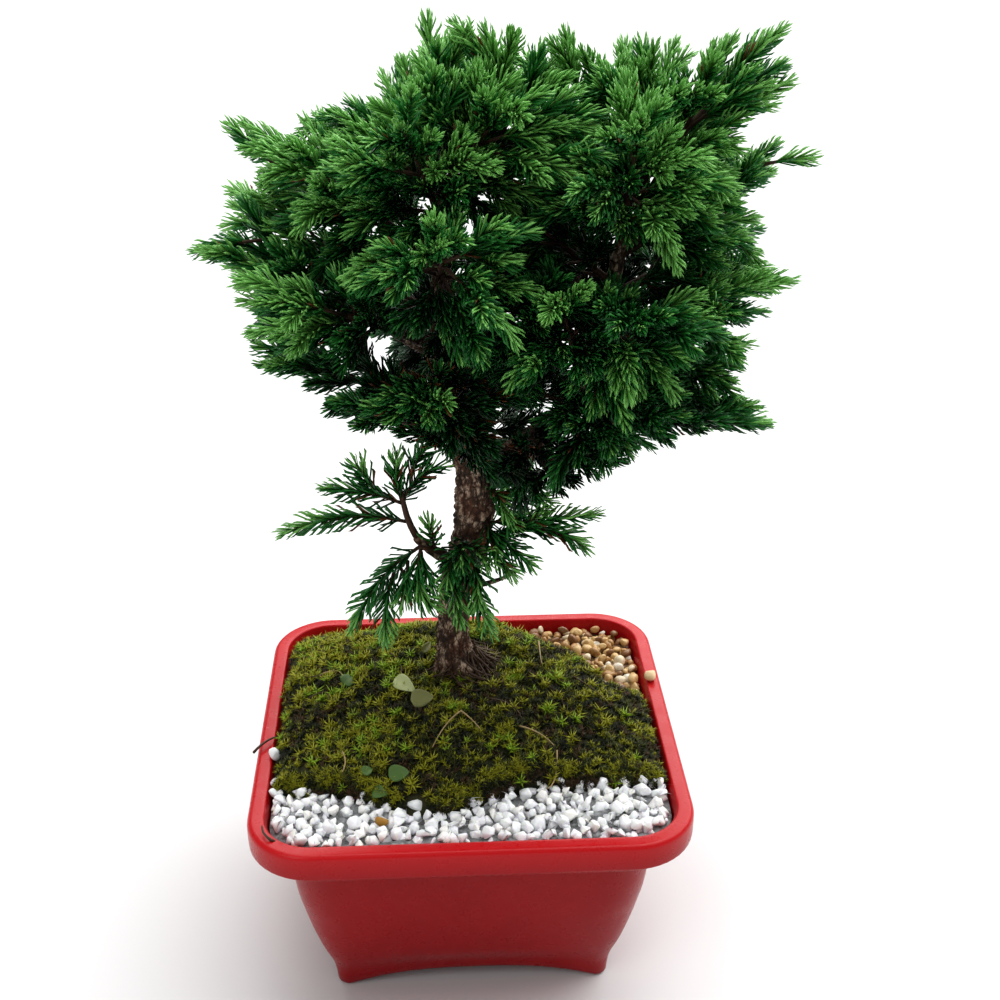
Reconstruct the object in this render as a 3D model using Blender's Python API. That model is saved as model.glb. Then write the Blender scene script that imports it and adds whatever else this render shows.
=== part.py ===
# Bonsai conifer in a square tapering pot.
# Millimetre sizes are written as N * MM and the model is built in metres, +Z up.
# Everything is laid out round the middle of the pot, then moved by ORIGIN_SHIFT
# so that the origin lies on the ground, under the middle of the whole plant.

import math
import random

import bmesh
import bpy
import numpy as np
from mathutils import Matrix, Vector
from mathutils.bvhtree import BVHTree

MM = 0.001
SEED = 7
GAP = 0.3 * MM
ORIGIN_SHIFT = Vector((-14.5, -9.5, 0.0)) * MM
UP = Vector((0.0, 0.0, 1.0))

# Pot
POT_HEIGHT = 80.0 * MM
RIM_HALF = 75.0 * MM
RIM_CORNER = 22.5 * MM
RIM_DEPTH = 10.0 * MM
RIM_LIP = 5.8 * MM
RIM_EDGE = 1.6 * MM
COLLAR_HALF = 71.5 * MM
COLLAR_DEPTH = 15.5 * MM
WALL = 2.6 * MM
FLOOR_TOP = 10.0 * MM
CORNER_STEPS = 4
ARCH_HALF = 44.0 * MM
ARCH_RISE = 6.1 * MM
ARCH_POWER = 2.6
ARCH_STEPS = 12
ARCH_BELOW = 5.0 * MM
# Rings of the collar and rim: how far each stands in from the collar or rim, and its height.
COLLAR_DRAFT = 3.5 * MM
COLLAR_TURN = 0.8 * MM
COLLAR_CORNER = 20.5 * MM
COLLAR_FOOT_CORNER = 18.5 * MM
# Inside of the pot: heights of the body's last inner ring and of the ring under the rim.
INNER_SHOULDER = 62.0 * MM
INNER_UNDER_RIM = 69.6 * MM
INNER_RIM_EDGE = 78.5 * MM
INNER_STEP = 1.4 * MM
INNER_DRAFT = 0.4 * MM
# Half width of the body below the collar, by height above the ground.
BODY_PROFILE = (
    (0.0, 48.6), (4.0, 49.2), (8.5, 50.2), (12.5, 51.8), (18.0, 54.0), (28.0, 57.3), (38.0, 60.0), (48.0, 61.5),
    (63.5, 62.6))
BODY_CORNER_TOP = 17.0 * MM
BODY_CORNER_FOOT = 4.0 * MM
BODY_CORNER_RISE = 36.0 * MM

# Fill of the pot
FILL_GAP = 0.65 * MM
BED_BOTTOM = 70.4 * MM
MOSS_EDGE = 79.0 * MM
GROUND = 92.0 * MM
MOSS_SPREAD = 40.0 * MM
MOSS_LUMP = 1.3 * MM
WHITE_TOP = 77.0 * MM
BROWN_TOP = 74.5 * MM
STONE_LUMP = 1.0 * MM
BROWN_LINE = 55.5 * MM
BROWN_DIP = 3.5 * MM
BROWN_DIP_REACH = 18.0 * MM
BROWN_WAVE = 1.5 * MM
BROWN_WAVE_RUN = 7.0 * MM
# Front edge of the moss, and its two waves: height, run and start, the start in half turns.
MOSS_FRONT = -44.5 * MM
MOSS_WAVES = ((6.5, 18.0, 1.75), (2.5, 9.0, 0.0))
MOSS_RISE = 1.5 * MM
# The mound falls away again towards the back wall.
BACK_FALL = 6.5 * MM
BACK_START = 42.0 * MM
BACK_RUN = 22.0 * MM
MOSS_SHARES = (0.2, 0.38, 0.55, 0.7, 0.84, 0.955)
MOSS_RAYS = 28
STONE_SIDE = 1.6 * MM
STONE_OVERLAP = 4.0 * MM
WHITE_SHARES = (0.5, 0.95)
WHITE_RAYS = 30
BROWN_SHARES = (0.4, 0.93)
BROWN_RAYS = 20
EDGE_STEPS = 34
EDGE_FAR = 200.0 * MM
TRUNK_SEAT = 20.0 * MM

# Trunk and limbs
TRUNK_SIDES = 10
TRUNK_RING = 8.5 * MM
LEADER_SIDES = 7
FLARE = 4.9 * MM
FLARE_HEIGHT = 17.0 * MM
FLARE_TO_RIGHT = 0.3
LOBE_DEPTH = 0.28
ROOT_LOBES = 5
BARK_LUMP = 0.05
CROWN_TOP = 329.0 * MM
LIMB_SIDES = 4
LIMB_RINGS = 4

# Foliage
SPRAY_LENGTH = 37.0 * MM
SPRAY_CORE = 5.0 * MM
SHOOT_CORE = 3.4 * MM
SPRAY_TIERS = 3
SPRAY_BARE = 0.28
SPRAY_APART = 10.5 * MM
SPRAY_GIRTH = (0.3, 0.35)
SPRAY_TWIST = 0.3
SPRAY_SHARP = 0.6
SHORT_SPRAY = 0.1
SPRAY_PROBES = 8
END_SPRAY_OVERLAP = 3.0 * MM
LENGTH_SPREAD = (0.85, 1.0)
STEM_END = 0.5
TURN_STEP = 0.1
SHOOT_STEP = 0.12
SHOOT_SPLIT = (0.6, 0.45)
NEEDLE_OUT = 5.6 * MM
NEEDLE_FORWARD = 7.5 * MM
STEM_RADIUS = 1.5 * MM
STEM_TIP = 0.8 * MM
STEM_RINGS = 4
STEM_BARE = 0.08
LIMB_CLEAR = 2.5 * MM
CELL_MARGIN = -9.0 * MM
LIMB_MARGIN = 0.7 * MM
SPRAY_LEAN = (22.0, 66.0)
SPRAY_TRIES = 14
SPRAY_ROUNDS = (1.0, 1.0, 0.9, 0.8, 0.7)
CLEARANCE = 0.5 * MM
BOUGH_BOW = 0.06
BOUGH_FOOT = 2.8 * MM
BOUGH_TIP = 1.7 * MM
FOOT_SHARE = 0.7
DEAD_FOOT = 1.3 * MM
DEAD_TIP = 0.6 * MM


def at(x, y, z):
    return Vector((x, y, z)) * MM


def clear_scene():
    for obj in list(bpy.data.objects):
        bpy.data.objects.remove(obj)
    for mesh in list(bpy.data.meshes):
        bpy.data.meshes.remove(mesh)


def make_material(name, colour, roughness, metallic=0.0):
    material = bpy.data.materials.new(name)
    material.use_nodes = True
    shader = material.node_tree.nodes["Principled BSDF"]
    shader.inputs["Base Color"].default_value = (*colour, 1.0)
    shader.inputs["Roughness"].default_value = roughness
    shader.inputs["Metallic"].default_value = metallic
    material.diffuse_color = (*colour, 1.0)
    return material


def make_object(name, bm, material, smooth_angle=None):
    mesh = bpy.data.meshes.new(name)
    bmesh.ops.recalc_face_normals(bm, faces=bm.faces)
    bm.to_mesh(mesh)
    bm.free()
    if smooth_angle:
        mesh.shade_smooth()
        mesh.set_sharp_from_angle(angle=math.radians(smooth_angle))
    obj = bpy.data.objects.new(name, mesh)
    obj.data.materials.append(material)
    bpy.context.scene.collection.objects.link(obj)
    return obj


def bridge_rings(bm, rings, close_start=True, close_end=True):
    loops = [[bm.verts.new(point) for point in ring] for ring in rings]
    for low, high in zip(loops[:-1], loops[1:]):
        for index in range(len(low)):
            after = (index + 1) % len(low)
            bm.faces.new((low[index], low[after], high[after], high[index]))
    if close_start:
        bm.faces.new(list(reversed(loops[0])))
    if close_end:
        bm.faces.new(loops[-1])
    return loops


def interpolate(rows, height):
    if height <= rows[0][0]:
        return rows[0][1]
    for (low, start), (high, end) in zip(rows[:-1], rows[1:]):
        if height <= high:
            return start + (end - start) * (height - low) / (high - low)
    return rows[-1][1]


def evaluated_mesh(obj):
    graph = bpy.context.evaluated_depsgraph_get()
    return bpy.data.meshes.new_from_object(obj.evaluated_get(graph))


def apply_modifiers(obj):
    mesh = evaluated_mesh(obj)
    obj.modifiers.clear()
    obj.data = mesh
    return obj


def cut(obj, cutters, solver="EXACT"):
    for cutter in cutters:
        modifier = obj.modifiers.new("cut", "BOOLEAN")
        modifier.operation = "DIFFERENCE"
        modifier.object = cutter
        modifier.solver = solver
    apply_modifiers(obj)
    return obj


# Pot


def rounded_square(half, corner, height):
    points = []
    for quarter in range(4):
        middle = math.radians(45 + 90 * quarter)
        centre_x = math.copysign(half - corner, math.cos(middle))
        centre_y = math.copysign(half - corner, math.sin(middle))
        for step in range(CORNER_STEPS + 1):
            turn = math.radians(90 * quarter + 90 * step / CORNER_STEPS)
            points.append(Vector((
                centre_x + corner * math.cos(turn),
                centre_y + corner * math.sin(turn),
                height)))
    return points


def body_corner(height):
    share = min(1.0, height / BODY_CORNER_RISE)
    return BODY_CORNER_FOOT + (BODY_CORNER_TOP - BODY_CORNER_FOOT) * share


def outer_rings():
    rings = []
    for height, half in BODY_PROFILE:
        rings.append(rounded_square(half * MM, body_corner(height * MM), height * MM))
    under_collar = POT_HEIGHT - COLLAR_DEPTH
    under_rim = POT_HEIGHT - RIM_DEPTH
    rings.append(rounded_square(COLLAR_HALF - COLLAR_DRAFT, COLLAR_FOOT_CORNER, under_collar))
    rings.append(rounded_square(COLLAR_HALF, COLLAR_CORNER, under_rim - COLLAR_TURN))
    rings.append(rounded_square(RIM_HALF - RIM_EDGE, RIM_CORNER - RIM_EDGE, under_rim))
    rings.append(rounded_square(RIM_HALF, RIM_CORNER, under_rim + RIM_EDGE))
    rings.append(rounded_square(RIM_HALF, RIM_CORNER, POT_HEIGHT - RIM_EDGE))
    rings.append(rounded_square(RIM_HALF - RIM_EDGE, RIM_CORNER - RIM_EDGE, POT_HEIGHT))
    return rings


def inner_half(height):
    opening = RIM_HALF - RIM_LIP
    rows = [(level * MM, half * MM - WALL) for level, half in BODY_PROFILE[:-1]]
    rows.append((INNER_SHOULDER, BODY_PROFILE[-1][1] * MM - WALL))
    rows.append((INNER_UNDER_RIM, opening - INNER_STEP))
    rows.append((INNER_RIM_EDGE, opening - INNER_DRAFT))
    rows.append((POT_HEIGHT, opening))
    return interpolate(rows, height)


def inner_corner(height):
    if height < INNER_SHOULDER:
        return body_corner(height) - WALL * 0.5
    return RIM_CORNER - RIM_LIP


def inner_ring(height, clearance=0.0):
    return rounded_square(inner_half(height) - clearance, inner_corner(height) - clearance, height)


def body_levels():
    # Heights of the inner rings on the body, from the floor up.
    return [level * MM for level, _ in BODY_PROFILE if level in (18.0, 38.0)]


def inner_rings():
    heights = [POT_HEIGHT, INNER_RIM_EDGE, INNER_UNDER_RIM, INNER_SHOULDER]
    heights.extend(reversed(body_levels()))
    heights.append(FLOOR_TOP)
    return [inner_ring(height) for height in heights]


def arch_cutter(name, along_x):
    bm = bmesh.new()
    profile = [(-ARCH_HALF, -ARCH_BELOW), (ARCH_HALF, -ARCH_BELOW)]
    for step in range(ARCH_STEPS + 1):
        share = 1.0 - 2.0 * step / ARCH_STEPS
        profile.append((ARCH_HALF * share, ARCH_RISE * (1.0 - abs(share) ** ARCH_POWER)))
    ends = []
    for reach in (-RIM_HALF, RIM_HALF):
        if along_x:
            ends.append([Vector((reach, across, height)) for across, height in profile])
        else:
            ends.append([Vector((across, reach, height)) for across, height in profile])
    bridge_rings(bm, ends)
    cutter = make_object(name, bm, bpy.data.materials["pot_red"])
    cutter.hide_render = True
    cutter.display_type = "WIRE"
    return cutter


def make_pot(material):
    bm = bmesh.new()
    bridge_rings(bm, outer_rings() + inner_rings())
    pot = make_object("pot", bm, material, smooth_angle=40)
    cutters = [arch_cutter("arch_cut_x", True), arch_cutter("arch_cut_y", False)]
    cut(pot, cutters)
    for cutter in cutters:
        bpy.data.objects.remove(cutter)
    return pot


# Fill of the pot


def within_pot(x, y, height):
    half = inner_half(height) - FILL_GAP
    corner = inner_corner(height) - FILL_GAP
    over_x = abs(x) - (half - corner)
    over_y = abs(y) - (half - corner)
    if over_x <= 0 or over_y <= 0:
        return abs(x) <= half and abs(y) <= half
    return math.hypot(over_x, over_y) <= corner


def moss_front(x):
    edge = MOSS_FRONT
    for height, run, start in MOSS_WAVES:
        edge += height * MM * math.sin(x / (run * MM) + start * math.pi)
    return edge


def brown_side(x, y):
    return (x + y) / math.sqrt(2) - BROWN_LINE - BROWN_WAVE * math.sin((x - y) / BROWN_WAVE_RUN)


def in_moss(x, y, height):
    return within_pot(x, y, height) and y > moss_front(x) and brown_side(x, y) < 0


def in_white(x, y, height):
    return within_pot(x, y, height) and y < moss_front(x) + STONE_OVERLAP


def in_brown(x, y, height):
    return within_pot(x, y, height) and brown_side(x, y) > -STONE_OVERLAP


def edge_reach(inside, centre, direction, height):
    near = 0.0
    far = EDGE_FAR
    for _ in range(EDGE_STEPS):
        middle = (near + far) / 2
        point = centre + direction * middle
        if inside(point.x, point.y, height):
            near = middle
        else:
            far = middle
    return near


def ray_directions(stretch, count):
    directions = []
    for index in range(count):
        turn = 2 * math.pi * index / count
        directions.append(Vector((stretch[0] * math.cos(turn), stretch[1] * math.sin(turn), 0)).normalized())
    return directions


def edge_ring(inside, centre, directions, reach_height, height, extra=0.0):
    ring = []
    for direction in directions:
        point = centre + direction * (edge_reach(inside, centre, direction, reach_height) + extra)
        ring.append(Vector((point.x, point.y, height)))
    return ring


def make_heap(name, inside, centre, directions, top, edge, shares, material):
    # A bed of fill: rings round its middle, out to the pot's wall or its neighbour.
    rings = []
    for share in shares:
        ring = []
        for direction in directions:
            point = centre + direction * edge_reach(inside, centre, direction, edge) * share
            ring.append(Vector((point.x, point.y, top(point.x, point.y, share))))
        rings.append(ring)
    rings.append(edge_ring(inside, centre, directions, edge, edge))
    rings.append(edge_ring(inside, centre, directions, BED_BOTTOM, BED_BOTTOM))
    bm = bmesh.new()
    bridge_rings(bm, rings)
    return make_object(name, bm, material)


def make_soil(material):
    heights = [FLOOR_TOP + GAP, *body_levels(), INNER_SHOULDER, INNER_UNDER_RIM, BED_BOTTOM - GAP]
    bm = bmesh.new()
    bridge_rings(bm, [inner_ring(height, GAP) for height in heights])
    return make_object("soil", bm, material)


def make_moss(material, foot, rng):
    low = MOSS_EDGE + MOSS_RISE

    def top(x, y, share):
        distance = math.hypot(x - foot.x, y - foot.y)
        if distance < TRUNK_SEAT:
            return GROUND
        fall = math.exp(-((distance - TRUNK_SEAT) / MOSS_SPREAD) ** 2)
        lump = rng.uniform(-MOSS_LUMP, MOSS_LUMP)
        dip = max(0.0, 1.0 + brown_side(x, y) / BROWN_DIP_REACH) * BROWN_DIP
        back = min(1.0, max(0.0, (y - BACK_START) / BACK_RUN))
        dip += BACK_FALL * back * back * (3 - 2 * back)
        return low + (GROUND - low) * fall + lump * (1 - 0.5 * share) - dip

    directions = ray_directions((1, 1), MOSS_RAYS)
    return make_heap("moss_mound", in_moss, foot, directions, top, MOSS_EDGE - BROWN_DIP, MOSS_SHARES, material)


def moss_cutter(material, foot):
    # The moss's outline, a little wider and carried up and down past the stones.
    edge = MOSS_EDGE - BROWN_DIP
    directions = ray_directions((1, 1), MOSS_RAYS)
    levels = ((edge, POT_HEIGHT), (edge, edge), (BED_BOTTOM, BED_BOTTOM), (BED_BOTTOM, INNER_SHOULDER))
    rings = []
    for reach_height, height in levels:
        rings.append(edge_ring(in_moss, foot, directions, reach_height, height, 2 * GAP))
    bm = bmesh.new()
    bridge_rings(bm, rings)
    return make_object("moss_cut", bm, material)


def make_stones(name, inside, centre, directions, top_height, shares, moss_cut, material, rng):
    def top(x, y, share):
        return top_height + rng.uniform(-STONE_LUMP, STONE_LUMP)

    bed = make_heap(name, inside, centre, directions, top, top_height - STONE_SIDE, shares, material)
    return cut(bed, [moss_cut])


def make_fill(earth, moss, white, brown, rng):
    foot = Vector((TRUNK_LINE[0][0], TRUNK_LINE[0][1], 0)) * MM
    make_soil(earth)
    make_moss(moss, foot, rng)
    moss_cut = moss_cutter(moss, foot)
    make_stones("white_gravel", in_white, at(0, -58.5, 0), ray_directions((65, 10), WHITE_RAYS), WHITE_TOP,
                WHITE_SHARES, moss_cut, white, rng)
    make_stones("brown_gravel", in_brown, at(52, 52, 0), ray_directions((1, 1), BROWN_RAYS), BROWN_TOP,
                BROWN_SHARES, moss_cut, brown, rng)
    bpy.data.objects.remove(moss_cut)


# Limbs


def frame_along(direction):
    direction = direction.normalized()
    side = direction.cross(UP)
    if side.length < 0.05:
        side = direction.cross(Vector((0, 1, 0)))
    side.normalize()
    return side, side.cross(direction)


def ring_round(centre, direction, radius, sides, turn=0.0):
    side, rise = frame_along(direction)
    points = []
    for index in range(sides):
        angle = turn + 2 * math.pi * index / sides
        points.append(centre + (side * math.cos(angle) + rise * math.sin(angle)) * radius)
    return points


def curve_points(start, bend, end, count):
    points = []
    for index in range(count):
        share = index / (count - 1)
        points.append(start * (1 - share) ** 2 + bend * 2 * share * (1 - share) + end * share ** 2)
    return points


def path_directions(points):
    directions = []
    for index in range(len(points)):
        before = points[max(index - 1, 0)]
        after = points[min(index + 1, len(points) - 1)]
        directions.append((after - before).normalized())
    return directions


def path_place(points, share):
    place = share * (len(points) - 1)
    index = min(int(place), len(points) - 2)
    return points[index].lerp(points[index + 1], place - index)


def capsules(points, radii):
    return [(points[i], points[i + 1], max(radii[i], radii[i + 1])) for i in range(len(points) - 1)]


# Centre line of the trunk from the ground to the crown's top: x, y, z, radius.
TRUNK_LINE = (
    (-2.0, 17.0, 92.3, 8.6), (-4.0, 16.5, 101.0, 6.6), (-4.5, 16.0, 110.0, 5.9), (-4.0, 15.0, 120.0, 5.9),
    (-2.0, 15.0, 131.0, 6.3), (1.5, 15.0, 142.0, 7.1), (3.5, 15.0, 154.0, 7.2), (4.5, 15.0, 165.0, 7.2),
    (3.0, 15.0, 176.0, 6.0), (-1.0, 14.5, 186.0, 5.0), (-4.5, 14.0, 198.0, 4.6), (-7.0, 13.0, 226.0, 3.8),
    (-6.0, 12.0, 260.0, 2.7), (-6.0, 10.0, 288.0, 1.6))
# Centre line of the right leader, from inside the trunk at the fork.
RIGHT_LINE = (
    (4.0, 15.0, 168.0, 5.0), (14.0, 16.0, 177.5, 4.8), (26.0, 16.0, 185.5, 4.4), (35.0, 16.0, 194.5, 4.0),
    (42.0, 15.0, 210.0, 3.5), (50.0, 14.0, 240.0, 2.6), (54.0, 12.0, 272.0, 1.6))
# Crown masses: name, limb it grows from, height where it leaves that limb, heading in
# degrees from +X, rise in degrees, reach in mm, and the share of the reach that is a bough
# of its own. With no bough, its stem leaves the limb itself.
CROWN = (
    ("left_low", "trunk", 198, 192, 19, 72, 0.28),
    ("left_wide", "trunk", 216, 190, 29, 89, 0.28),
    ("left_back", "trunk", 230, 160, 24, 82, 0.0),
    ("left_high", "trunk", 248, 187, 39, 79, 0.0),
    ("top_left", "trunk", 268, 122, 47, 50, 0.0),
    ("front_left_low", "trunk", 190, 237, 21, 67, 0.0),
    ("front_low", "trunk", 204, 265, 15, 75, 0.0),
    ("front_left", "trunk", 220, 227, 25, 84, 0.28),
    ("front_mid", "trunk", 236, 270, 27, 92, 0.28),
    ("front_high", "trunk", 262, 259, 36, 72, 0.0),
    ("front_top", "trunk", 274, 298, 36, 58, 0.0),
    ("back_left", "trunk", 252, 117, 7, 86, 0.28),
    ("back_low", "trunk", 216, 91, -10, 80, 0.0),
    ("low_back", "trunk", 186, 63, -14, 56, 0.0),
    ("low_front", "trunk", 181, 252, 29, 46, 0.0),
    ("crown_tip", "trunk", 288, 120, 80, 42, 0.0),
    ("top_middle", "trunk", 264, 335, 52, 58, 0.0),
    ("front_centre", "trunk", 227, 305, 20, 66, 0.0),
    ("right_low", "right_leader", 189, 344, 6, 80, 0.28),
    ("right_mid", "right_leader", 204, 8, 11, 67, 0.0),
    ("right_wide", "right_leader", 217, 347, 24, 76, 0.28),
    ("right_back", "right_leader", 236, 29, 12, 71, 0.0),
    ("centre_inner", "right_leader", 217, 185, 42, 52, 0.0),
    ("centre_upper", "right_leader", 241, 200, 36, 50, 0.0),
    ("top_centre", "right_leader", 260, 165, 62, 58, 0.0),
    ("right_high", "right_leader", 251, 352, 27, 66, 0.0),
    ("front_right_low", "right_leader", 199, 292, 11, 58, 0.0),
    ("centre_front", "right_leader", 207, 257, 36, 88, 0.28),
    ("front_right", "right_leader", 223, 272, 21, 82, 0.0),
    ("front_right_high", "right_leader", 257, 266, 40, 78, 0.0),
    ("back_right", "right_leader", 243, 77, 6, 78, 0.28),
    ("back_right_low", "right_leader", 212, 74, -8, 76, 0.0),
    ("centre_back", "right_leader", 230, 112, 15, 76, 0.0),
    ("low_right_back", "right_leader", 195, 33, -10, 66, 0.0),
    ("low_middle", "right_leader", 183, 282, 0, 38, 0.0),
    ("right_top", "right_leader", 269, 351, 50, 72, 0.0),
    ("top_right", "right_leader", 263, 52, 62, 60, 0.0),
)
# Lower masses, each with its own few shoots: name, limb, stem start, bend and end, shoot tips.
LOWER = (
    ("low_left_upper", "low_left_bough", (-16.9, 6.9, 152.7), (-20.5, 6.2, 159.5), (-21.5, 6.0, 170.0),
     ((-60.7, 0.0, 161.0), (-46.5, 4.0, 176.5), (-23.0, 2.0, 187.0), (-35.8, 12.0, 184.5))),
    ("low_left_lower", "trunk", (0.0, 15.0, 131.0), (-9.0, 5.0, 138.0), (-17.0, 1.0, 142.0),
     ((-39.4, -6.0, 129.0), (-29.9, -8.0, 121.5), (-12.5, -5.0, 127.0))),
    ("hanging_front", "trunk", (2.5, 15.0, 147.0), (0.0, 5.0, 151.0), (-0.5, 1.0, 146.0),
     ((3.0, -5.0, 118.0), (11.5, -4.0, 122.5), (-6.5, -7.0, 129.0))),
    ("low_right", "trunk", (3.0, 15.0, 148.0), (13.0, 11.5, 149.5), (20.0, 10.0, 152.5),
     ((46.0, 7.0, 162.5), (42.0, 4.0, 147.5), (24.0, -1.0, 144.0))),
)
LOW_LEFT_BOUGH = ((0.5, 15.0, 137.0), (-9.0, 9.0, 142.0), (-16.5, 7.0, 152.1))
DEAD_TWIG = ((-2.0, 15.0, 127.0), (8.0, 10.0, 130.0), (18.0, 7.0, 137.0))


def smooth_line(rows, spacing):
    # A Catmull-Rom curve through the rows, with an even number of steps between them.
    points = []
    radii = []
    for index in range(len(rows) - 1):
        quad = [Vector(rows[max(0, min(len(rows) - 1, index + step))]) for step in (-1, 0, 1, 2)]
        span = (quad[2] - quad[1]).length * MM
        steps = max(1, round(span / spacing))
        for step in range(steps):
            share = step / steps
            value = 0.5 * (
                2 * quad[1] + (quad[2] - quad[0]) * share
                + (2 * quad[0] - 5 * quad[1] + 4 * quad[2] - quad[3]) * share ** 2
                + (3 * quad[1] - quad[0] - 3 * quad[2] + quad[3]) * share ** 3)
            points.append(value.to_3d() * MM)
            radii.append(value[3] * MM)
    points.append(Vector(rows[-1][:3]) * MM)
    radii.append(rows[-1][3] * MM)
    return points, radii


def root_flare(height, turn):
    share = max(0.0, 1.0 - height / FLARE_HEIGHT)
    lobes = 1.0 - LOBE_DEPTH + LOBE_DEPTH * math.cos(ROOT_LOBES * turn + 0.6)
    to_right = 1.0 - FLARE_TO_RIGHT / 2 + FLARE_TO_RIGHT * math.cos(turn + math.radians(30))
    return FLARE * share ** 2 * lobes * to_right


def trunk_rings(points, radii, extra, rng):
    rings = []
    for point, radius in zip(points, radii):
        ring = []
        for index in range(TRUNK_SIDES):
            turn = 2 * math.pi * index / TRUNK_SIDES
            lump = 1.0 + rng.uniform(-BARK_LUMP, BARK_LUMP)
            reach = radius * lump + root_flare(point.z - points[0].z, turn) + extra
            ring.append(point + Vector((math.cos(turn), math.sin(turn), 0)) * reach)
        rings.append(ring)
    return rings


def make_trunk(name, material, extra=0.0):
    points, radii = smooth_line(TRUNK_LINE, TRUNK_RING)
    bm = bmesh.new()
    bridge_rings(bm, trunk_rings(points, radii, extra, random.Random(SEED)))
    return make_object(name, bm, material, smooth_angle=60)


def make_leader(name, material, extra=0.0):
    points, radii = smooth_line(RIGHT_LINE, TRUNK_RING)
    directions = path_directions(points)
    rings = []
    for point, direction, radius in zip(points, directions, radii):
        rings.append(ring_round(point, direction, radius + extra, LEADER_SIDES))
    bm = bmesh.new()
    bridge_rings(bm, rings)
    return make_object(name, bm, material, smooth_angle=60)


def make_limb(name, points, radii, material):
    directions = path_directions(points)
    bm = bmesh.new()
    rings = []
    for point, direction, radius in zip(points, directions, radii):
        rings.append(ring_round(point, direction, radius, LIMB_SIDES))
    bridge_rings(bm, rings)
    return make_object(name, bm, material, smooth_angle=60)


def taper(start, end, count):
    return [start + (end - start) * index / (count - 1) for index in range(count)]


# Foliage


def spray_mesh(base, tip, core, twist):
    # A slim three-sided core that needles stand out of, leaning towards its tip.
    direction = (tip - base).normalized()
    length = (tip - base).length
    bm = bmesh.new()
    tiers = [0.0]
    for index in range(SPRAY_TIERS):
        tiers.append(SPRAY_BARE + (1.0 - SPRAY_BARE) * index / SPRAY_TIERS)
    rings = []
    for index, share in enumerate(tiers):
        girth = core * (SPRAY_GIRTH[0] if index == 0 else 1.0 - SPRAY_GIRTH[1] * share)
        centre = base.lerp(tip, share)
        rings.append(ring_round(centre, direction, girth, 3, twist + SPRAY_TWIST * index))
    loops = bridge_rings(bm, rings, close_end=False)
    point = bm.verts.new(tip)
    last = loops[-1]
    for index in range(3):
        bm.faces.new((last[index], last[(index + 1) % 3], point))
    bare = set(loops[0])
    scale = min(1.0, length / SPRAY_LENGTH + SHORT_SPRAY) * core / SPRAY_CORE
    for face in list(bm.faces):
        if any(vert in bare for vert in face.verts):
            continue
        centre = face.calc_center_median()
        axis = base + direction * (centre - base).dot(direction)
        outward = (centre - axis).normalized()
        sharp = SPRAY_SHARP if len(face.verts) == 3 else 1.0
        apex = centre + outward * NEEDLE_OUT * scale * sharp + direction * NEEDLE_FORWARD * scale
        poked = bmesh.ops.poke(bm, faces=[face])
        poked["verts"][0].co = apex
    bmesh.ops.triangulate(bm, faces=bm.faces)
    return bm


def stack(line):
    # Segments as arrays: starts, spans and radii.
    starts = np.array([start for start, _, _ in line])
    spans = np.array([end - start for start, end, _ in line])
    radii = np.array([radius for _, _, radius in line])
    return starts, spans, radii


def distances(points, segments):
    # Distance from each point to each segment.
    starts, spans, _ = segments
    offset = np.array(points)[:, None, :] - starts[None, :, :]
    size = np.maximum((spans ** 2).sum(axis=1), 1e-18)
    share = np.clip((offset * spans[None, :, :]).sum(axis=2) / size[None, :], 0.0, 1.0)
    return np.linalg.norm(offset - spans[None, :, :] * share[:, :, None], axis=2)


def keeps_own_space(points, name, spaces):
    own = distances(points, stack(spaces[name])).min(axis=1)
    others = []
    for other, line in spaces.items():
        if other != name:
            others.extend(line)
    theirs = distances(points, stack(others)).min(axis=1)
    return bool((own + CELL_MARGIN < theirs).all())


def clears_limbs(points, core_points, core, name, limbs):
    # The spray's own stem is the one limb that it may touch.
    segments = stack([segment for limb, line in limbs.items() if limb != "stem_" + name for segment in line])
    radii = segments[2][None, :]
    if (distances(points, segments) < radii + LIMB_MARGIN).any():
        return False
    if (distances(core_points, segments) < radii + core + LIMB_MARGIN).any():
        return False
    return all(GROUND + MOSS_LUMP < point.z < CROWN_TOP for point in points)


def touches_others(swollen, name, masses):
    tree = BVHTree.FromBMesh(swollen)
    for other in masses:
        if other["name"] == name:
            continue
        if any(tree.overlap(taken) for taken in other["taken"]):
            return True
    return False


def try_spray(mass, base, tip, core, spread, masses, spaces, limbs, rng):
    # A spray is kept if it stands apart from its mass's other sprays, stays nearer its
    # own stem than its neighbours', and touches no limb and no other mass.
    twist = rng.uniform(0, 2)
    core_points = [base.lerp(tip, 0.25 + 0.75 * step / SPRAY_PROBES) for step in range(SPRAY_PROBES + 1)]
    if spread and mass["axes"] and distances(core_points[3:], stack(mass["axes"])).min() < SPRAY_APART:
        return False
    bm = spray_mesh(base, tip, core, twist)
    swollen = spray_mesh(base, tip + (tip - base).normalized() * CLEARANCE, core + CLEARANCE, twist)
    points = [vert.co.copy() for vert in bm.verts]
    fits = (
        keeps_own_space(points, mass["name"], spaces)
        and clears_limbs(points, core_points, core, mass["name"], limbs)
        and not touches_others(swollen, mass["name"], masses))
    if fits:
        mass["axes"].append((base.lerp(tip, 0.4), tip, core))
        mass["taken"].append(BVHTree.FromBMesh(bm))
        mass["sprays"].append(bm)
    else:
        bm.free()
    swollen.free()
    return fits


def side_tip(base, direction, lean, turn, length):
    side, rise = frame_along(direction)
    outward = side * math.cos(turn) + rise * math.sin(turn)
    return base + (direction * math.cos(lean) + outward * math.sin(lean)) * length


def grow_end_spray(mass, masses, spaces, limbs, rng):
    points = mass["stem_points"]
    start = points[-1] - path_directions(points)[-1] * END_SPRAY_OVERLAP
    return try_spray(mass, start, mass["tip"], SPRAY_CORE, False, masses, spaces, limbs, rng)


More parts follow.
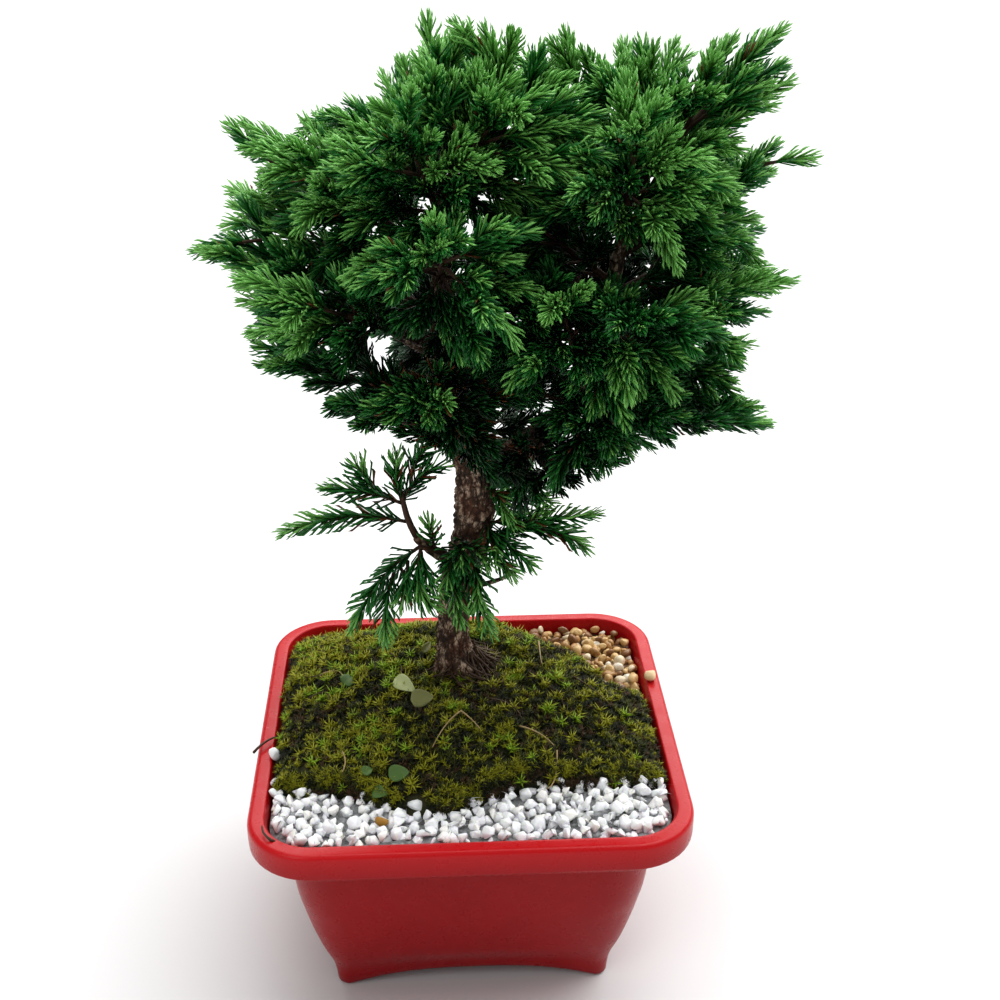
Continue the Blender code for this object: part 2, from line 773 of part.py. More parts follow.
def grow_side_spray(mass, shrink, masses, spaces, limbs, rng):
    points = mass["stem_points"]
    for _ in range(SPRAY_TRIES):
        share = rng.uniform(mass["bare"], 1.0)
        base = path_place(points, share)
        after = path_place(points, min(1.0, share + TURN_STEP))
        direction = (after - path_place(points, share - TURN_STEP)).normalized()
        lean = math.radians(rng.uniform(*SPRAY_LEAN))
        length = SPRAY_LENGTH * shrink * rng.uniform(*LENGTH_SPREAD)
        tip = side_tip(base, direction, lean, rng.uniform(0, 2 * math.pi), length)
        if try_spray(mass, base, tip, SPRAY_CORE, True, masses, spaces, limbs, rng):
            return True
    return False


def grow_shoots(mass, masses, spaces, limbs, rng):
    # A lower mass has a few bare shoots; a long one is two sprays end to end.
    points = mass["stem_points"]
    for index, shoot in enumerate(mass["shoots"]):
        base = path_place(points, 1.0 - SHOOT_STEP * index)
        tip = at(*shoot)
        pieces = [(base, tip)]
        if (tip - base).length > SPRAY_LENGTH:
            first, second = SHOOT_SPLIT
            pieces = [(base, base.lerp(tip, first)), (base.lerp(tip, second), tip)]
        for start, end in pieces:
            try_spray(mass, start, end, SHOOT_CORE, False, masses, spaces, limbs, rng)


def new_mass(name, points, radii, tip, cutters, shoots=(), bare=STEM_BARE):
    return {
        "name": name, "stem_points": points, "stem": capsules(points, radii), "tip": tip, "cutters": cutters,
        "shoots": shoots, "bare": bare, "axes": [], "taken": [], "sprays": []}


def join_mass(mass, material):
    # The stem and its sprays become one closed body.
    name = "foliage_" + mass["name"]
    points = mass["stem_points"]
    radii = [segment[2] for segment in mass["stem"]] + [STEM_TIP]
    bm = bmesh.new()
    rings = []
    for point, direction, radius in zip(points, path_directions(points), radii):
        rings.append(ring_round(point, direction, radius, 3))
    bridge_rings(bm, rings)
    body = make_object(name, bm, material)
    group = bpy.data.collections.new(name + "_sprays")
    bpy.context.scene.collection.children.link(group)
    for index, spray in enumerate(mass["sprays"]):
        piece = make_object(name + "_spray_" + str(index), spray, material)
        bpy.context.scene.collection.objects.unlink(piece)
        group.objects.link(piece)
    modifier = body.modifiers.new("join", "BOOLEAN")
    modifier.operation = "UNION"
    modifier.operand_type = "COLLECTION"
    modifier.collection = group
    modifier.solver = "MANIFOLD"
    apply_modifiers(body)
    for piece in list(group.objects):
        bpy.data.objects.remove(piece)
    bpy.data.collections.remove(group)
    if mass["cutters"]:
        cut(body, mass["cutters"], "MANIFOLD")
    return body


def limb_start(line, height):
    points, radii = line
    for low, high in zip(points[:-1], points[1:]):
        if low.z <= height <= high.z:
            return low.lerp(high, (height - low.z) / (high.z - low.z))
    return points[-1]


def limb_radius(line, height):
    points, radii = line
    near = min(range(len(points)), key=lambda index: abs(points[index].z - height))
    return radii[near]


def crown_curve(start, heading, rise, reach):
    flat = math.cos(math.radians(rise))
    direction = Vector((
        flat * math.cos(math.radians(heading)),
        flat * math.sin(math.radians(heading)),
        math.sin(math.radians(rise))))
    tip = start + direction * reach
    bend = start.lerp(tip, 0.5) + UP * BOUGH_BOW * reach
    return start, bend, tip


def split_curve(curve, low, high, count):
    start, bend, tip = curve
    points = []
    for index in range(count):
        share = low + (high - low) * index / (count - 1)
        points.append(
            start * (1 - share) ** 2 + bend * 2 * share * (1 - share) + tip * share ** 2)
    return points


def grow_crown_row(row, lines, limbs, cutters, bark):
    name, limb, height, heading, rise, reach, bough_share = row
    reach = reach * MM
    curve = crown_curve(limb_start(lines[limb], height * MM), heading, rise, reach)
    girth = limb_radius(lines[limb], height * MM)
    stem_end = max(STEM_END, 1.0 - SPRAY_LENGTH / reach)
    stem_foot = min(STEM_RADIUS, FOOT_SHARE * girth)
    if not bough_share:
        points = split_curve(curve, 0.0, stem_end, STEM_RINGS)
        bare = (girth + LIMB_CLEAR) / (points[-1] - points[0]).length
        radii = taper(stem_foot, STEM_TIP, STEM_RINGS)
        return new_mass(name, points, radii, curve[2], cutters[limb], bare=bare)
    points = split_curve(curve, 0.0, bough_share, LIMB_RINGS)
    radii = taper(min(BOUGH_FOOT, FOOT_SHARE * girth), BOUGH_TIP, LIMB_RINGS)
    cut(make_limb("bough_" + name, points, radii, bark), cutters[limb])
    limbs["bough_" + name] = capsules(points, radii)
    points = split_curve(curve, bough_share + GAP / reach, stem_end, STEM_RINGS)
    return new_mass(name, points, taper(stem_foot, STEM_TIP, STEM_RINGS), curve[2], [])


def grow_low_limb(name, row, foot, tip, limbs, cutter, bark):
    points = curve_points(*[at(*point) for point in row], LIMB_RINGS)
    radii = taper(foot, tip, LIMB_RINGS)
    cut(make_limb(name, points, radii, bark), [cutter])
    limbs[name] = capsules(points, radii)


def grow_lower_row(row, cutters):
    name, limb, start, bend, end, tips = row
    points = curve_points(at(*start), at(*bend), at(*end), STEM_RINGS)
    radii = taper(STEM_RADIUS, STEM_TIP, STEM_RINGS)
    return new_mass(name, points, radii, points[-1], cutters.get(limb, []), tips)


def share_space(masses, limbs):
    # The lines that each mass owns, and the stems that the others must clear.
    spaces = {}
    for mass in masses:
        name = mass["name"]
        end = mass["stem_points"][-1]
        spaces[name] = mass["stem"] + [(end, mass["tip"], STEM_TIP)]
        for shoot in mass["shoots"]:
            spaces[name].append((end, at(*shoot), STEM_TIP))
        limbs["stem_" + name] = mass["stem"]
    return spaces


def grow_sprays(crown, lower, masses, spaces, limbs, rng):
    for mass in crown:
        grow_end_spray(mass, masses, spaces, limbs, rng)
    for mass in lower:
        grow_shoots(mass, masses, spaces, limbs, rng)
    for shrink in SPRAY_ROUNDS:
        for mass in crown:
            grow_side_spray(mass, shrink, masses, spaces, limbs, rng)


def main():
    clear_scene()
    rng = random.Random(SEED)
    red = make_material("pot_red", (0.62, 0.025, 0.03), 0.32)
    earth = make_material("soil_dark", (0.035, 0.022, 0.014), 0.95)
    moss = make_material("moss_green", (0.09, 0.13, 0.015), 0.9)
    white = make_material("stone_white", (0.82, 0.83, 0.84), 0.6)
    brown = make_material("stone_brown", (0.42, 0.26, 0.12), 0.5)
    bark = make_material("bark", (0.13, 0.075, 0.045), 0.9)
    needles = make_material("needles", (0.02, 0.14, 0.025), 0.5)

    make_pot(red)
    make_fill(earth, moss, white, brown, rng)

    lines = {
        "trunk": smooth_line(TRUNK_LINE, TRUNK_RING),
        "right_leader": smooth_line(RIGHT_LINE, TRUNK_RING),
    }
    limbs = {name: capsules(*line) for name, line in lines.items()}
    make_trunk("trunk", bark)
    trunk_cut = make_trunk("trunk_cut", bark, GAP)
    cut(make_leader("right_leader", bark), [trunk_cut])
    leader_cut = make_leader("leader_cut", bark, GAP)
    cutters = {"trunk": [trunk_cut], "right_leader": [leader_cut, trunk_cut]}

    crown = [grow_crown_row(row, lines, limbs, cutters, bark) for row in CROWN]
    grow_low_limb("low_left_bough", LOW_LEFT_BOUGH, BOUGH_FOOT, BOUGH_TIP, limbs, trunk_cut, bark)
    grow_low_limb("dead_twig", DEAD_TWIG, DEAD_FOOT, DEAD_TIP, limbs, trunk_cut, bark)
    lower = [grow_lower_row(row, cutters) for row in LOWER]
    masses = crown + lower
    spaces = share_space(masses, limbs)
    grow_sprays(crown, lower, masses, spaces, limbs, rng)
    for mass in masses:
        join_mass(mass, needles)

    for cutter in (trunk_cut, leader_cut):
        bpy.data.objects.remove(cutter)
    for obj in bpy.data.objects:
        obj.data.transform(Matrix.Translation(ORIGIN_SHIFT))


main()
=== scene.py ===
import math
import random

import bmesh
import bpy
import numpy as np
from mathutils import Matrix, Vector, noise


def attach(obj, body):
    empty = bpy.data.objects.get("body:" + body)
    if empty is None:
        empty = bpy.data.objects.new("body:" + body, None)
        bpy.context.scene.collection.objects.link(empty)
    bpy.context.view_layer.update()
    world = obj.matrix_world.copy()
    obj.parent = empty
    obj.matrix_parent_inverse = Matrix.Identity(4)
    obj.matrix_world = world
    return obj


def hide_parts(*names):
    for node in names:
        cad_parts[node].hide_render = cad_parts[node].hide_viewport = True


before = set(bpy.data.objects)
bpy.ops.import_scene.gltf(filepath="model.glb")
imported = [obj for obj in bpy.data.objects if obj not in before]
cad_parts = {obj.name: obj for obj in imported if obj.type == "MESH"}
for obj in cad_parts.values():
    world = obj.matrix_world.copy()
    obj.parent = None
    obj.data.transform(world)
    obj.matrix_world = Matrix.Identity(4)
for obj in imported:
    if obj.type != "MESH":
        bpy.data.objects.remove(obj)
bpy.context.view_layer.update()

mm = 0.001
up = Vector((0.0, 0.0, 1.0))
potShift = Vector((-14.5, -9.5, 0.0)) * mm   # everything is shaped round the pot's middle, then moved by this
goldenTurn = math.radians(137.5)
pieceLimit = 190000   # triangles in one joined piece


# Shared helpers, shapes

def spot(x, y, z):
    return Vector((x, y, z)) * mm


def addObject(name, data):
    piece = bpy.data.objects.new(name, data)
    bpy.context.scene.collection.objects.link(piece)
    return piece


def finishPiece(name, mesh, material, slotName, standsFor=()):
    mesh.transform(Matrix.Translation(potShift))
    piece = addObject(name, mesh)
    mesh.materials.clear()
    mesh.materials.append(material)
    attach(piece, "root")
    if standsFor:
        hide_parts(*standsFor)


def bakeShape(name, bm, sharpAngle=None):
    mesh = bpy.data.meshes.new(name)
    bmesh.ops.recalc_face_normals(bm, faces=bm.faces)
    bm.to_mesh(mesh)
    bm.free()
    mesh.shade_smooth()
    if sharpAngle:
        mesh.set_sharp_from_angle(angle=math.radians(sharpAngle))
    return mesh


def startRing(bm, seats):
    # One flat face whose corners remember their seat: where they sit round every later ring.
    seatLayer = bm.verts.layers.float_vector.new("seat")
    made = bmesh.ops.create_circle(bm, cap_ends=True, segments=len(seats), radius=1.0)
    for corner, seat in zip(made["verts"], seats):
        corner[seatLayer] = seat
    return bm.faces[:][0] if bm.faces else None, seatLayer


def drawOut(bm, face, seatLayer, places):
    # Extrudes the face from ring to ring; each place gives a corner's new point from its seat.
    for corner in face.verts:
        corner.co = places[0](corner[seatLayer])
    for number, place in enumerate(places[1:]):
        grown = bmesh.ops.extrude_face_region(bm, geom=[face])
        if number:
            bmesh.ops.delete(bm, geom=[face], context="FACES_ONLY")
        face = [part for part in grown["geom"] if isinstance(part, bmesh.types.BMFace)][0]
        for corner in face.verts:
            corner.co = place(corner[seatLayer])
    return face


def turnSeats(count):
    return [Vector((math.cos(2 * math.pi * i / count), math.sin(2 * math.pi * i / count), i)) for i in range(count)]


def shapeArrays(bm):
    # A small shape as arrays, ready to be repeated.
    bmesh.ops.triangulate(bm, faces=bm.faces)
    bmesh.ops.recalc_face_normals(bm, faces=bm.faces)
    bm.verts.index_update()
    points = np.array([corner.co[:] for corner in bm.verts])
    faces = np.array([[corner.index for corner in face.verts] for face in bm.faces])
    bm.free()
    return points, faces


def arrayMesh(name, points, faces, smooth=True):
    mesh = bpy.data.meshes.new(name)
    mesh.vertices.add(len(points))
    mesh.vertices.foreach_set("co", np.ascontiguousarray(points, dtype=np.float32).ravel())
    mesh.loops.add(faces.size)
    mesh.loops.foreach_set("vertex_index", np.ascontiguousarray(faces, dtype=np.int32).ravel())
    mesh.polygons.add(len(faces))
    mesh.polygons.foreach_set("loop_start", np.arange(0, faces.size, 3, dtype=np.int32))
    mesh.update(calc_edges=True)
    if smooth:
        mesh.shade_smooth()
    return mesh


def copiesOf(shape, origins, axes):
    # Every copy of a shape in one pair of arrays. axes holds each copy's own scaled axes as columns.
    points, faces = shape
    spread = origins[:, None, :] + np.einsum("nij,vj->nvi", axes, points)
    steps = (np.arange(len(origins)) * len(points))[:, None, None]
    return spread.reshape(-1, 3), (faces[None, :, :] + steps).reshape(-1, 3)


def copiesByShape(shapes, rows):
    # Each row says which shape, its origin and its scaled axes.
    parts = []
    for number, shape in enumerate(shapes):
        chosen = [row for row in rows if row[0] == number]
        if chosen:
            parts.append(copiesOf(shape, *[np.array([row[part] for row in chosen]) for part in (1, 2)]))
    return parts


def joinArrays(parts):
    points = np.concatenate([part[0] for part in parts])
    faces = []
    seen = 0
    for part in parts:
        faces.append(part[1] + seen)
        seen += len(part[0])
    return points, np.concatenate(faces)


def finishCopies(name, parts, material, slotName, standsFor=(), smooth=True):
    # Joins the parts into as few pieces as the triangle limit allows.
    batches = [[]]
    held = 0
    for part in parts:
        if held + len(part[1]) > pieceLimit and batches[-1]:
            batches.append([])
            held = 0
        batches[-1].append(part)
        held += len(part[1])
    for number, batch in enumerate(batches):
        label = name if len(batches) == 1 else name + "." + str(number + 1)
        mesh = arrayMesh(label, *joinArrays(batch), smooth=smooth)
        finishPiece(label, mesh, material, slotName, standsFor if number == 0 else ())
        print("   ", label, len(mesh.polygons), "triangles")


def tubeArrays(paths, radii, sides):
    # Closed tapering tubes along many paths at once: paths N x K x 3, radii N x K.
    count, steps = radii.shape
    along = np.gradient(paths, axis=1)
    along /= np.linalg.norm(along, axis=2, keepdims=True) + 1e-12
    lead = np.where(np.abs(along[:, :1, 2:3]) > 0.9, [[[1.0, 0.0, 0.0]]], [[[0.0, 0.0, 1.0]]])
    side = np.cross(along, np.broadcast_to(lead, along.shape))
    side /= np.linalg.norm(side, axis=2, keepdims=True) + 1e-12
    rise = np.cross(side, along)
    turns = 2 * np.pi * np.arange(sides) / sides
    cosine, sine = np.cos(turns)[:, None], np.sin(turns)[:, None]
    wheel = side[:, :, None] * cosine + rise[:, :, None] * sine
    rings = paths[:, :, None, :] + wheel * radii[:, :, None, None]
    ends = np.stack([paths[:, 0], paths[:, -1] + along[:, -1] * radii[:, -1:]], axis=1)
    points = np.concatenate([rings.reshape(count, -1, 3), ends], axis=1)
    faces = []
    for step in range(steps - 1):
        for index in range(sides):
            after = (index + 1) % sides
            low, high = step * sides, (step + 1) * sides
            faces.append((low + index, high + after, low + after))
            faces.append((low + index, high + index, high + after))
    first, last = steps * sides, steps * sides + 1
    for index in range(sides):
        after = (index + 1) % sides
        faces.append((first, index, after))
        faces.append((last, (steps - 1) * sides + after, (steps - 1) * sides + index))
    faces = np.array(faces)
    offsets = (np.arange(count) * points.shape[1])[:, None, None]
    return points.reshape(-1, 3), (faces[None] + offsets).reshape(-1, 3)


def smoothStep(value):
    value = min(1.0, max(0.0, value))
    return value * value * (3 - 2 * value)


def onCurve(curve, share):
    start, bend, end = curve
    return start * (1 - share) ** 2 + bend * 2 * share * (1 - share) + end * share ** 2


def curvePoints(start, bend, end, count):
    return [onCurve((start, bend, end), i / (count - 1)) for i in range(count)]


def tapered(thick, thin, count):
    return [(thick + (thin - thick) * i / (count - 1)) * mm for i in range(count)]


# Shared helpers, finishes

def plainFinish(name, colour, roughness, specular=0.5, subsurface=0.0):
    finish = bpy.data.materials.new(name)
    finish.use_nodes = True
    shader = finish.node_tree.nodes["Principled BSDF"]
    shader.inputs["Base Color"].default_value = (*colour, 1.0)
    shader.inputs["Roughness"].default_value = roughness
    shader.inputs["Specular IOR Level"].default_value = specular
    if subsurface:
        shader.inputs["Subsurface Weight"].default_value = subsurface
        shader.inputs["Subsurface Radius"].default_value = (0.8, 1.0, 0.6)
        shader.inputs["Subsurface Scale"].default_value = 0.0008
    finish.diffuse_color = (*colour, 1.0)
    return finish


class Wiring:
    # Adds nodes to a finish and joins them up.
    def __init__(self, finish):
        self.tree = finish.node_tree
        self.shader = self.tree.nodes["Principled BSDF"]
        self.seat = self.tree.nodes.new("ShaderNodeTexCoord").outputs["Object"]

    def link(self, source, target):
        self.tree.links.new(source, target)

    def noise(self, scale, detail=3.0, rough=0.6, stretch=None):
        node = self.tree.nodes.new("ShaderNodeTexNoise")
        node.inputs["Scale"].default_value = scale
        node.inputs["Detail"].default_value = detail
        node.inputs["Roughness"].default_value = rough
        self.link(self.stretched(stretch) if stretch else self.seat, node.inputs["Vector"])
        return node.outputs["Fac"]

    def cells(self, scale, stretch=None):
        node = self.tree.nodes.new("ShaderNodeTexVoronoi")
        node.feature = "DISTANCE_TO_EDGE"
        node.inputs["Scale"].default_value = scale
        self.link(self.stretched(stretch) if stretch else self.seat, node.inputs["Vector"])
        return node.outputs["Distance"]

    def stretched(self, scale):
        node = self.tree.nodes.new("ShaderNodeMapping")
        node.inputs["Scale"].default_value = scale
        self.link(self.seat, node.inputs["Vector"])
        return node.outputs["Vector"]

    def ramp(self, source, stops):
        node = self.tree.nodes.new("ShaderNodeValToRGB")
        line = node.color_ramp
        while len(line.elements) < len(stops):
            line.elements.new(0.5)
        for element, (place, colour) in zip(line.elements, stops):
            element.position = place
            element.color = (*colour, 1.0)
        self.link(source, node.inputs["Fac"])
        return node.outputs["Color"]

    def spread(self, source, low, high, newLow, newHigh):
        node = self.tree.nodes.new("ShaderNodeMapRange")
        for socket, value in zip(("From Min", "From Max", "To Min", "To Max"), (low, high, newLow, newHigh)):
            node.inputs[socket].default_value = value
        self.link(source, node.inputs["Value"])
        return node.outputs["Result"]

    def mixed(self, share, first, second):
        node = self.tree.nodes.new("ShaderNodeMix")
        node.data_type = "RGBA"
        self.link(share, node.inputs["Factor"])
        for socket, value in zip([s for s in node.inputs if s.type == "RGBA"], (first, second)):
            if isinstance(value, tuple):
                socket.default_value = (*value, 1.0)
            else:
                self.link(value, socket)
        return [s for s in node.outputs if s.type == "RGBA"][0]

    def colour(self, source):
        self.link(source, self.shader.inputs["Base Color"])

    def bump(self, height, strength, distance):
        node = self.tree.nodes.new("ShaderNodeBump")
        node.inputs["Strength"].default_value = strength
        node.inputs["Distance"].default_value = distance
        self.link(height, node.inputs["Height"])
        self.link(node.outputs["Normal"], self.shader.inputs["Normal"])


# Pot

pot = {
    "height": 80.0, "rimHalf": 75.0, "rimCorner": 22.5, "rimDepth": 10.0, "rimLip": 5.8, "rimRound": 2.0,
    "collarHalf": 71.5, "collarDepth": 15.5, "collarCorner": 20.5, "wall": 2.6, "floorTop": 10.0, "lipRound": 0.9,
    "archHalf": 44.0, "archRise": 6.1, "archPower": 2.6, "archReach": 18.0,
    "body": ((0.0, 48.6), (4.0, 49.2), (8.5, 50.2), (12.5, 51.8), (18.0, 54.0), (28.0, 57.3), (38.0, 60.0),
             (48.0, 61.5), (63.5, 62.6)),
    "cornerTop": 17.0, "cornerFoot": 4.0, "cornerRise": 36.0, "cornerSteps": 12, "sideSteps": 16,
    # The rim's lighter red, and the heights it fades in over, are painted light.
    "red": (0.30, 0.003, 0.006), "redDust": (0.33, 0.008, 0.011), "redRim": (0.47, 0.008, 0.012),
    "roughness": (0.24, 0.42), "rimFade": (0.069, 0.080),
}


def between(rows, height):
    # A smooth line through the rows.
    for index in range(len(rows) - 1):
        if height <= rows[index + 1][0] or index == len(rows) - 2:
            break
    low, high = rows[index], rows[index + 1]
    before = rows[max(0, index - 1)]
    after = rows[min(len(rows) - 1, index + 2)]
    span = high[0] - low[0]
    share = min(1.0, max(0.0, (height - low[0]) / span))
    slopeLow = (high[1] - before[1]) / (high[0] - before[0]) * span
    slopeHigh = (after[1] - low[1]) / (after[0] - low[0]) * span
    cube, square = share ** 3, share ** 2
    return (low[1] * (2 * cube - 3 * square + 1) + slopeLow * (cube - 2 * square + share)
            + high[1] * (3 * square - 2 * cube) + slopeHigh * (cube - square))


def bodyCorner(height):
    return pot["cornerFoot"] + (pot["cornerTop"] - pot["cornerFoot"]) * min(1.0, height / pot["cornerRise"])


def archLift(across):
    share = abs(across) / pot["archHalf"]
    return pot["archRise"] * (1.0 - share ** pot["archPower"]) if share < 1 else 0.0


def potSeats():
    # A unit square with round corners: each seat is a side share or a corner turn.
    seats = []
    for quarter in range(4):
        for step in range(pot["cornerSteps"] + 1):
            seats.append(Vector((quarter, step / pot["cornerSteps"], 0.0)))
        for step in range(1, pot["sideSteps"]):
            seats.append(Vector((quarter, step / pot["sideSteps"], 1.0)))
    return seats


def squarePoint(seat, half, corner):
    # Where a seat lies on a rounded square of this half width and corner radius.
    quarter, share, onSide = round(seat.x), seat.y, seat.z > 0.5
    flat = half - corner
    if onSide:
        start, end = Vector((flat, half, 0)), Vector((-flat, half, 0))
        point = start.lerp(end, share)
    else:
        turn = math.radians(90.0 * share)
        point = Vector((flat + corner * math.cos(turn), flat + corner * math.sin(turn), 0))
    return Matrix.Rotation(math.radians(90 * quarter), 3, "Z") @ point


def potRing(height, half, corner, scale=1.0, arched=True):
    def place(seat):
        point = squarePoint(seat, half, corner) * scale
        lift = max(archLift(point.x), archLift(point.y)) if arched else 0.0
        reach = pot["archReach"]
        level = lift + height * (reach - lift) / reach if height < reach else height
        return Vector((point.x, point.y, level)) * mm
    return place


def edgeRound(height, half, corner, radius, turnFrom, turnTo, steps=5):
    # Rings round an edge: the middle of the round is set in by its radius.
    rings = []
    for step in range(steps + 1):
        turn = math.radians(turnFrom + (turnTo - turnFrom) * step / steps)
        out = radius * math.cos(turn) - radius
        rings.append(potRing(height + radius * math.sin(turn), half + out, corner + out))
    return rings


def potRings():
    top, half, corner = pot["height"], pot["rimHalf"], pot["rimCorner"]
    underRim, underCollar = top - pot["rimDepth"], top - pot["collarDepth"]
    foot = pot["body"][0][1]
    rings = [potRing(0.0, foot, pot["cornerFoot"], scale) for scale in (0.3, 0.6, 0.8, 0.92, 0.975)]
    rings.append(potRing(0.25, foot, pot["cornerFoot"], 0.994))
    for step in range(22):
        height = 0.8 + (underCollar - 1.4) * step / 21
        rings.append(potRing(height, between(pot["body"], height), bodyCorner(height)))
    collar = pot["collarHalf"]
    rings.append(potRing(underCollar - 0.3, pot["body"][-1][1] + 0.6, pot["cornerTop"] + 0.3))
    rings.append(potRing(underCollar, collar - 4.2, pot["collarCorner"] - 2.6))
    rings += edgeRound(underCollar + 0.7, collar - 2.6, pot["collarCorner"] - 1.6, 0.7, -80, 0, 3)
    rings.append(potRing(underRim - 0.9, collar, pot["collarCorner"]))
    rings.append(potRing(underRim - 0.2, collar + 0.1, pot["collarCorner"]))
    rings.append(potRing(underRim, half - 1.4, corner - 1.4))
    rings += edgeRound(underRim + 0.9, half - 0.15, corner - 0.15, 0.9, -75, 0, 4)
    rings.append(potRing(underRim + 2.9, half, corner))
    rings.append(potRing(top - pot["rimRound"] - 0.6, half, corner))
    rings += edgeRound(top - pot["rimRound"], half, corner, pot["rimRound"], 0, 86, 7)
    inner, innerCorner = half - pot["rimLip"], corner - pot["rimLip"]
    rings.append(potRing(top - 0.05, inner + 1.5, innerCorner + 1.5))
    for turn in (88, 65, 42, 20, 2):
        angle = math.radians(turn)
        out = pot["lipRound"] * (1 - math.cos(angle))
        rings.append(potRing(top - pot["lipRound"] * (1 - math.sin(angle)), inner + out, innerCorner + out))
    rings.append(potRing(78.0, inner - 0.5, innerCorner))
    rings.append(potRing(69.6, inner - 1.4, innerCorner))
    rings.append(potRing(62.0, pot["body"][-1][1] - pot["wall"], innerCorner))
    for height in (48.0, 38.0, 28.0, 18.0):
        rings.append(potRing(height, between(pot["body"], height) - pot["wall"], bodyCorner(height) - 1.3,
                             arched=False))
    rings.append(potRing(pot["floorTop"], between(pot["body"], pot["floorTop"]) - pot["wall"], 5.0, arched=False))
    return rings


def potFinish():
    finish = plainFinish("redPlastic", pot["red"], 0.3, specular=0.28)
    wiring = Wiring(finish)
    cloud = wiring.noise(45.0, 4.0)
    grain = wiring.noise(900.0, 2.0)
    scratches = wiring.noise(210.0, 4.0, 0.75)
    base = wiring.ramp(cloud, ((0.3, tuple(c * 0.9 for c in pot["red"])), (0.62, pot["red"]), (0.85, pot["redDust"])))
    # The rim is painted a lighter red than the body, as painted light: the photo shows it lighter than this light
    # would make it.
    height = wiring.tree.nodes.new("ShaderNodeSeparateXYZ")
    wiring.link(wiring.seat, height.inputs["Vector"])
    # Painted light: the red turns lighter from the rim's underside up to its top.
    rim = wiring.spread(height.outputs["Z"], *pot["rimFade"], 0.0, 1.0)
    wiring.colour(wiring.mixed(rim, base, pot["redRim"]))
    wiring.link(wiring.spread(scratches, 0.35, 0.75, *pot["roughness"]), wiring.shader.inputs["Roughness"])
    wiring.bump(grain, 0.12, 0.0002)
    return finish


def makePot():
    bm = bmesh.new()
    face, seatLayer = startRing(bm, potSeats())
    drawOut(bm, face, seatLayer, potRings())
    mesh = bakeShape("potShell", bm, 38)
    finishPiece("potShell", mesh, potFinish(), "pot_red", ["pot"])


makePot()
print("pot made")


# Fill of the pot
fill = {
    "edge": 79.0, "ground": 92.0, "spread": 40.0, "seat": 20.0, "lump": 1.6, "bottom": 70.4, "rise": 1.5,
    "front": -44.5, "frontWaves": ((6.5, 18.0, 1.75), (2.5, 9.0, 0.0)),
    "brownLine": 55.5, "brownDip": 3.5, "brownDipReach": 18.0, "brownWave": 1.5, "brownWaveRun": 7.0,
    "wallGap": 0.9, "backFall": 6.5, "backStart": 42.0, "backRun": 22.0, "foot": (-2.0, 17.0), "rays": 200,
    "rings": 64,
    "edgeFall": 4.2, "edgeRun": 7.0, "stripEnd": 4.0, "stripLine": 65.2, "stripWave": 1.6, "sink": 0.8,
}
tufts = {
    "seed": 11, "shapes": 7, "starShapes": 3, "starBlades": 15, "starLean": (28, 82), "starClump": 0.12,
    "starStray": 0.25, "footClear": 7.5,
    "fringe": 900, "count": 7400, "stars": 620, "blades": 10, "bladeLength": (1.6, 2.7), "bladeWidth": 0.30,
    "lean": (12, 75),
    "size": (0.7, 1.25), "starSize": (1.2, 1.75),
    # Loose pebbles lie here, so no tuft comes up through them: place and radius.
    "bare": ((-18.7, -50.6, 4.4), (-30.1, -57.6, 3.6), (-33.0, 66.5, 3.3)),
    "lime": (0.24, 0.37, 0.012),
    "fresh": (0.29, 0.29, 0.008), "olive": (0.062, 0.072, 0.003), "dark": (0.010, 0.015, 0.002),
    "brown": (0.075, 0.040, 0.012), "bed": (0.012, 0.014, 0.004),
}


def insidePot(x, y, gap=fill["wallGap"]):
    inner = pot["rimHalf"] - pot["rimLip"] - pot["lipRound"] - gap
    corner = pot["rimCorner"] - pot["rimLip"] - gap
    overX, overY = abs(x) - (inner - corner), abs(y) - (inner - corner)
    if overX <= 0 or overY <= 0:
        return abs(x) <= inner and abs(y) <= inner
    return math.hypot(overX, overY) <= corner


def mossFront(x):
    return fill["front"] + sum(rise * math.sin(x / run + start * math.pi) for rise, run, start in fill["frontWaves"])


def brownSide(x, y):
    ripple = fill["brownWave"] * math.sin((x - y) / fill["brownWaveRun"])
    return (x + y) / math.sqrt(2) - fill["brownLine"] - ripple


def inMoss(x, y):
    return insidePot(x, y) and y > mossFront(x) and brownSide(x, y) < 0


def inStrip(x, y, size):
    # The thin row of gravel left free along the back wall.
    line = fill["stripLine"] + fill["stripWave"] * math.sin(x / 5.0)
    return insidePot(x, y, size * fill["sink"]) and x < fill["stripEnd"] and y > line


def reachTo(inside, centre, turn):
    near, far = 0.0, 200.0
    for _ in range(24):
        middle = (near + far) / 2
        if inside(centre[0] + middle * math.cos(turn), centre[1] + middle * math.sin(turn)):
            near = middle
        else:
            far = middle
    return near


def footGap(x, y):
    return math.hypot(x - fill["foot"][0], y - fill["foot"][1])


def mossLevel(x, y):
    low = fill["edge"] + fill["rise"]
    away = footGap(x, y)
    fall = math.exp(-((away - fill["seat"]) / fill["spread"]) ** 2) if away > fill["seat"] else 1.0
    dip = max(0.0, 1.0 + brownSide(x, y) / fill["brownDipReach"]) * fill["brownDip"]
    place = Vector((x, y, 0))
    lump = fill["lump"] * noise.noise(place / 13.0) + 0.8 * noise.noise(place / 5.0) + 0.45 * noise.noise(place / 2.2)
    edge = min(y - mossFront(x), -brownSide(x, y), pot["rimHalf"] - pot["rimLip"] - max(abs(x), abs(y)))
    roundOff = fill["edgeFall"] * (1.0 - smoothStep(edge / fill["edgeRun"])) ** 2
    roundOff += fill["backFall"] * smoothStep((y - fill["backStart"]) / fill["backRun"])
    return low + (fill["ground"] - low) * fall + lump * min(1.0, 0.4 + away / 30.0) - dip - roundOff


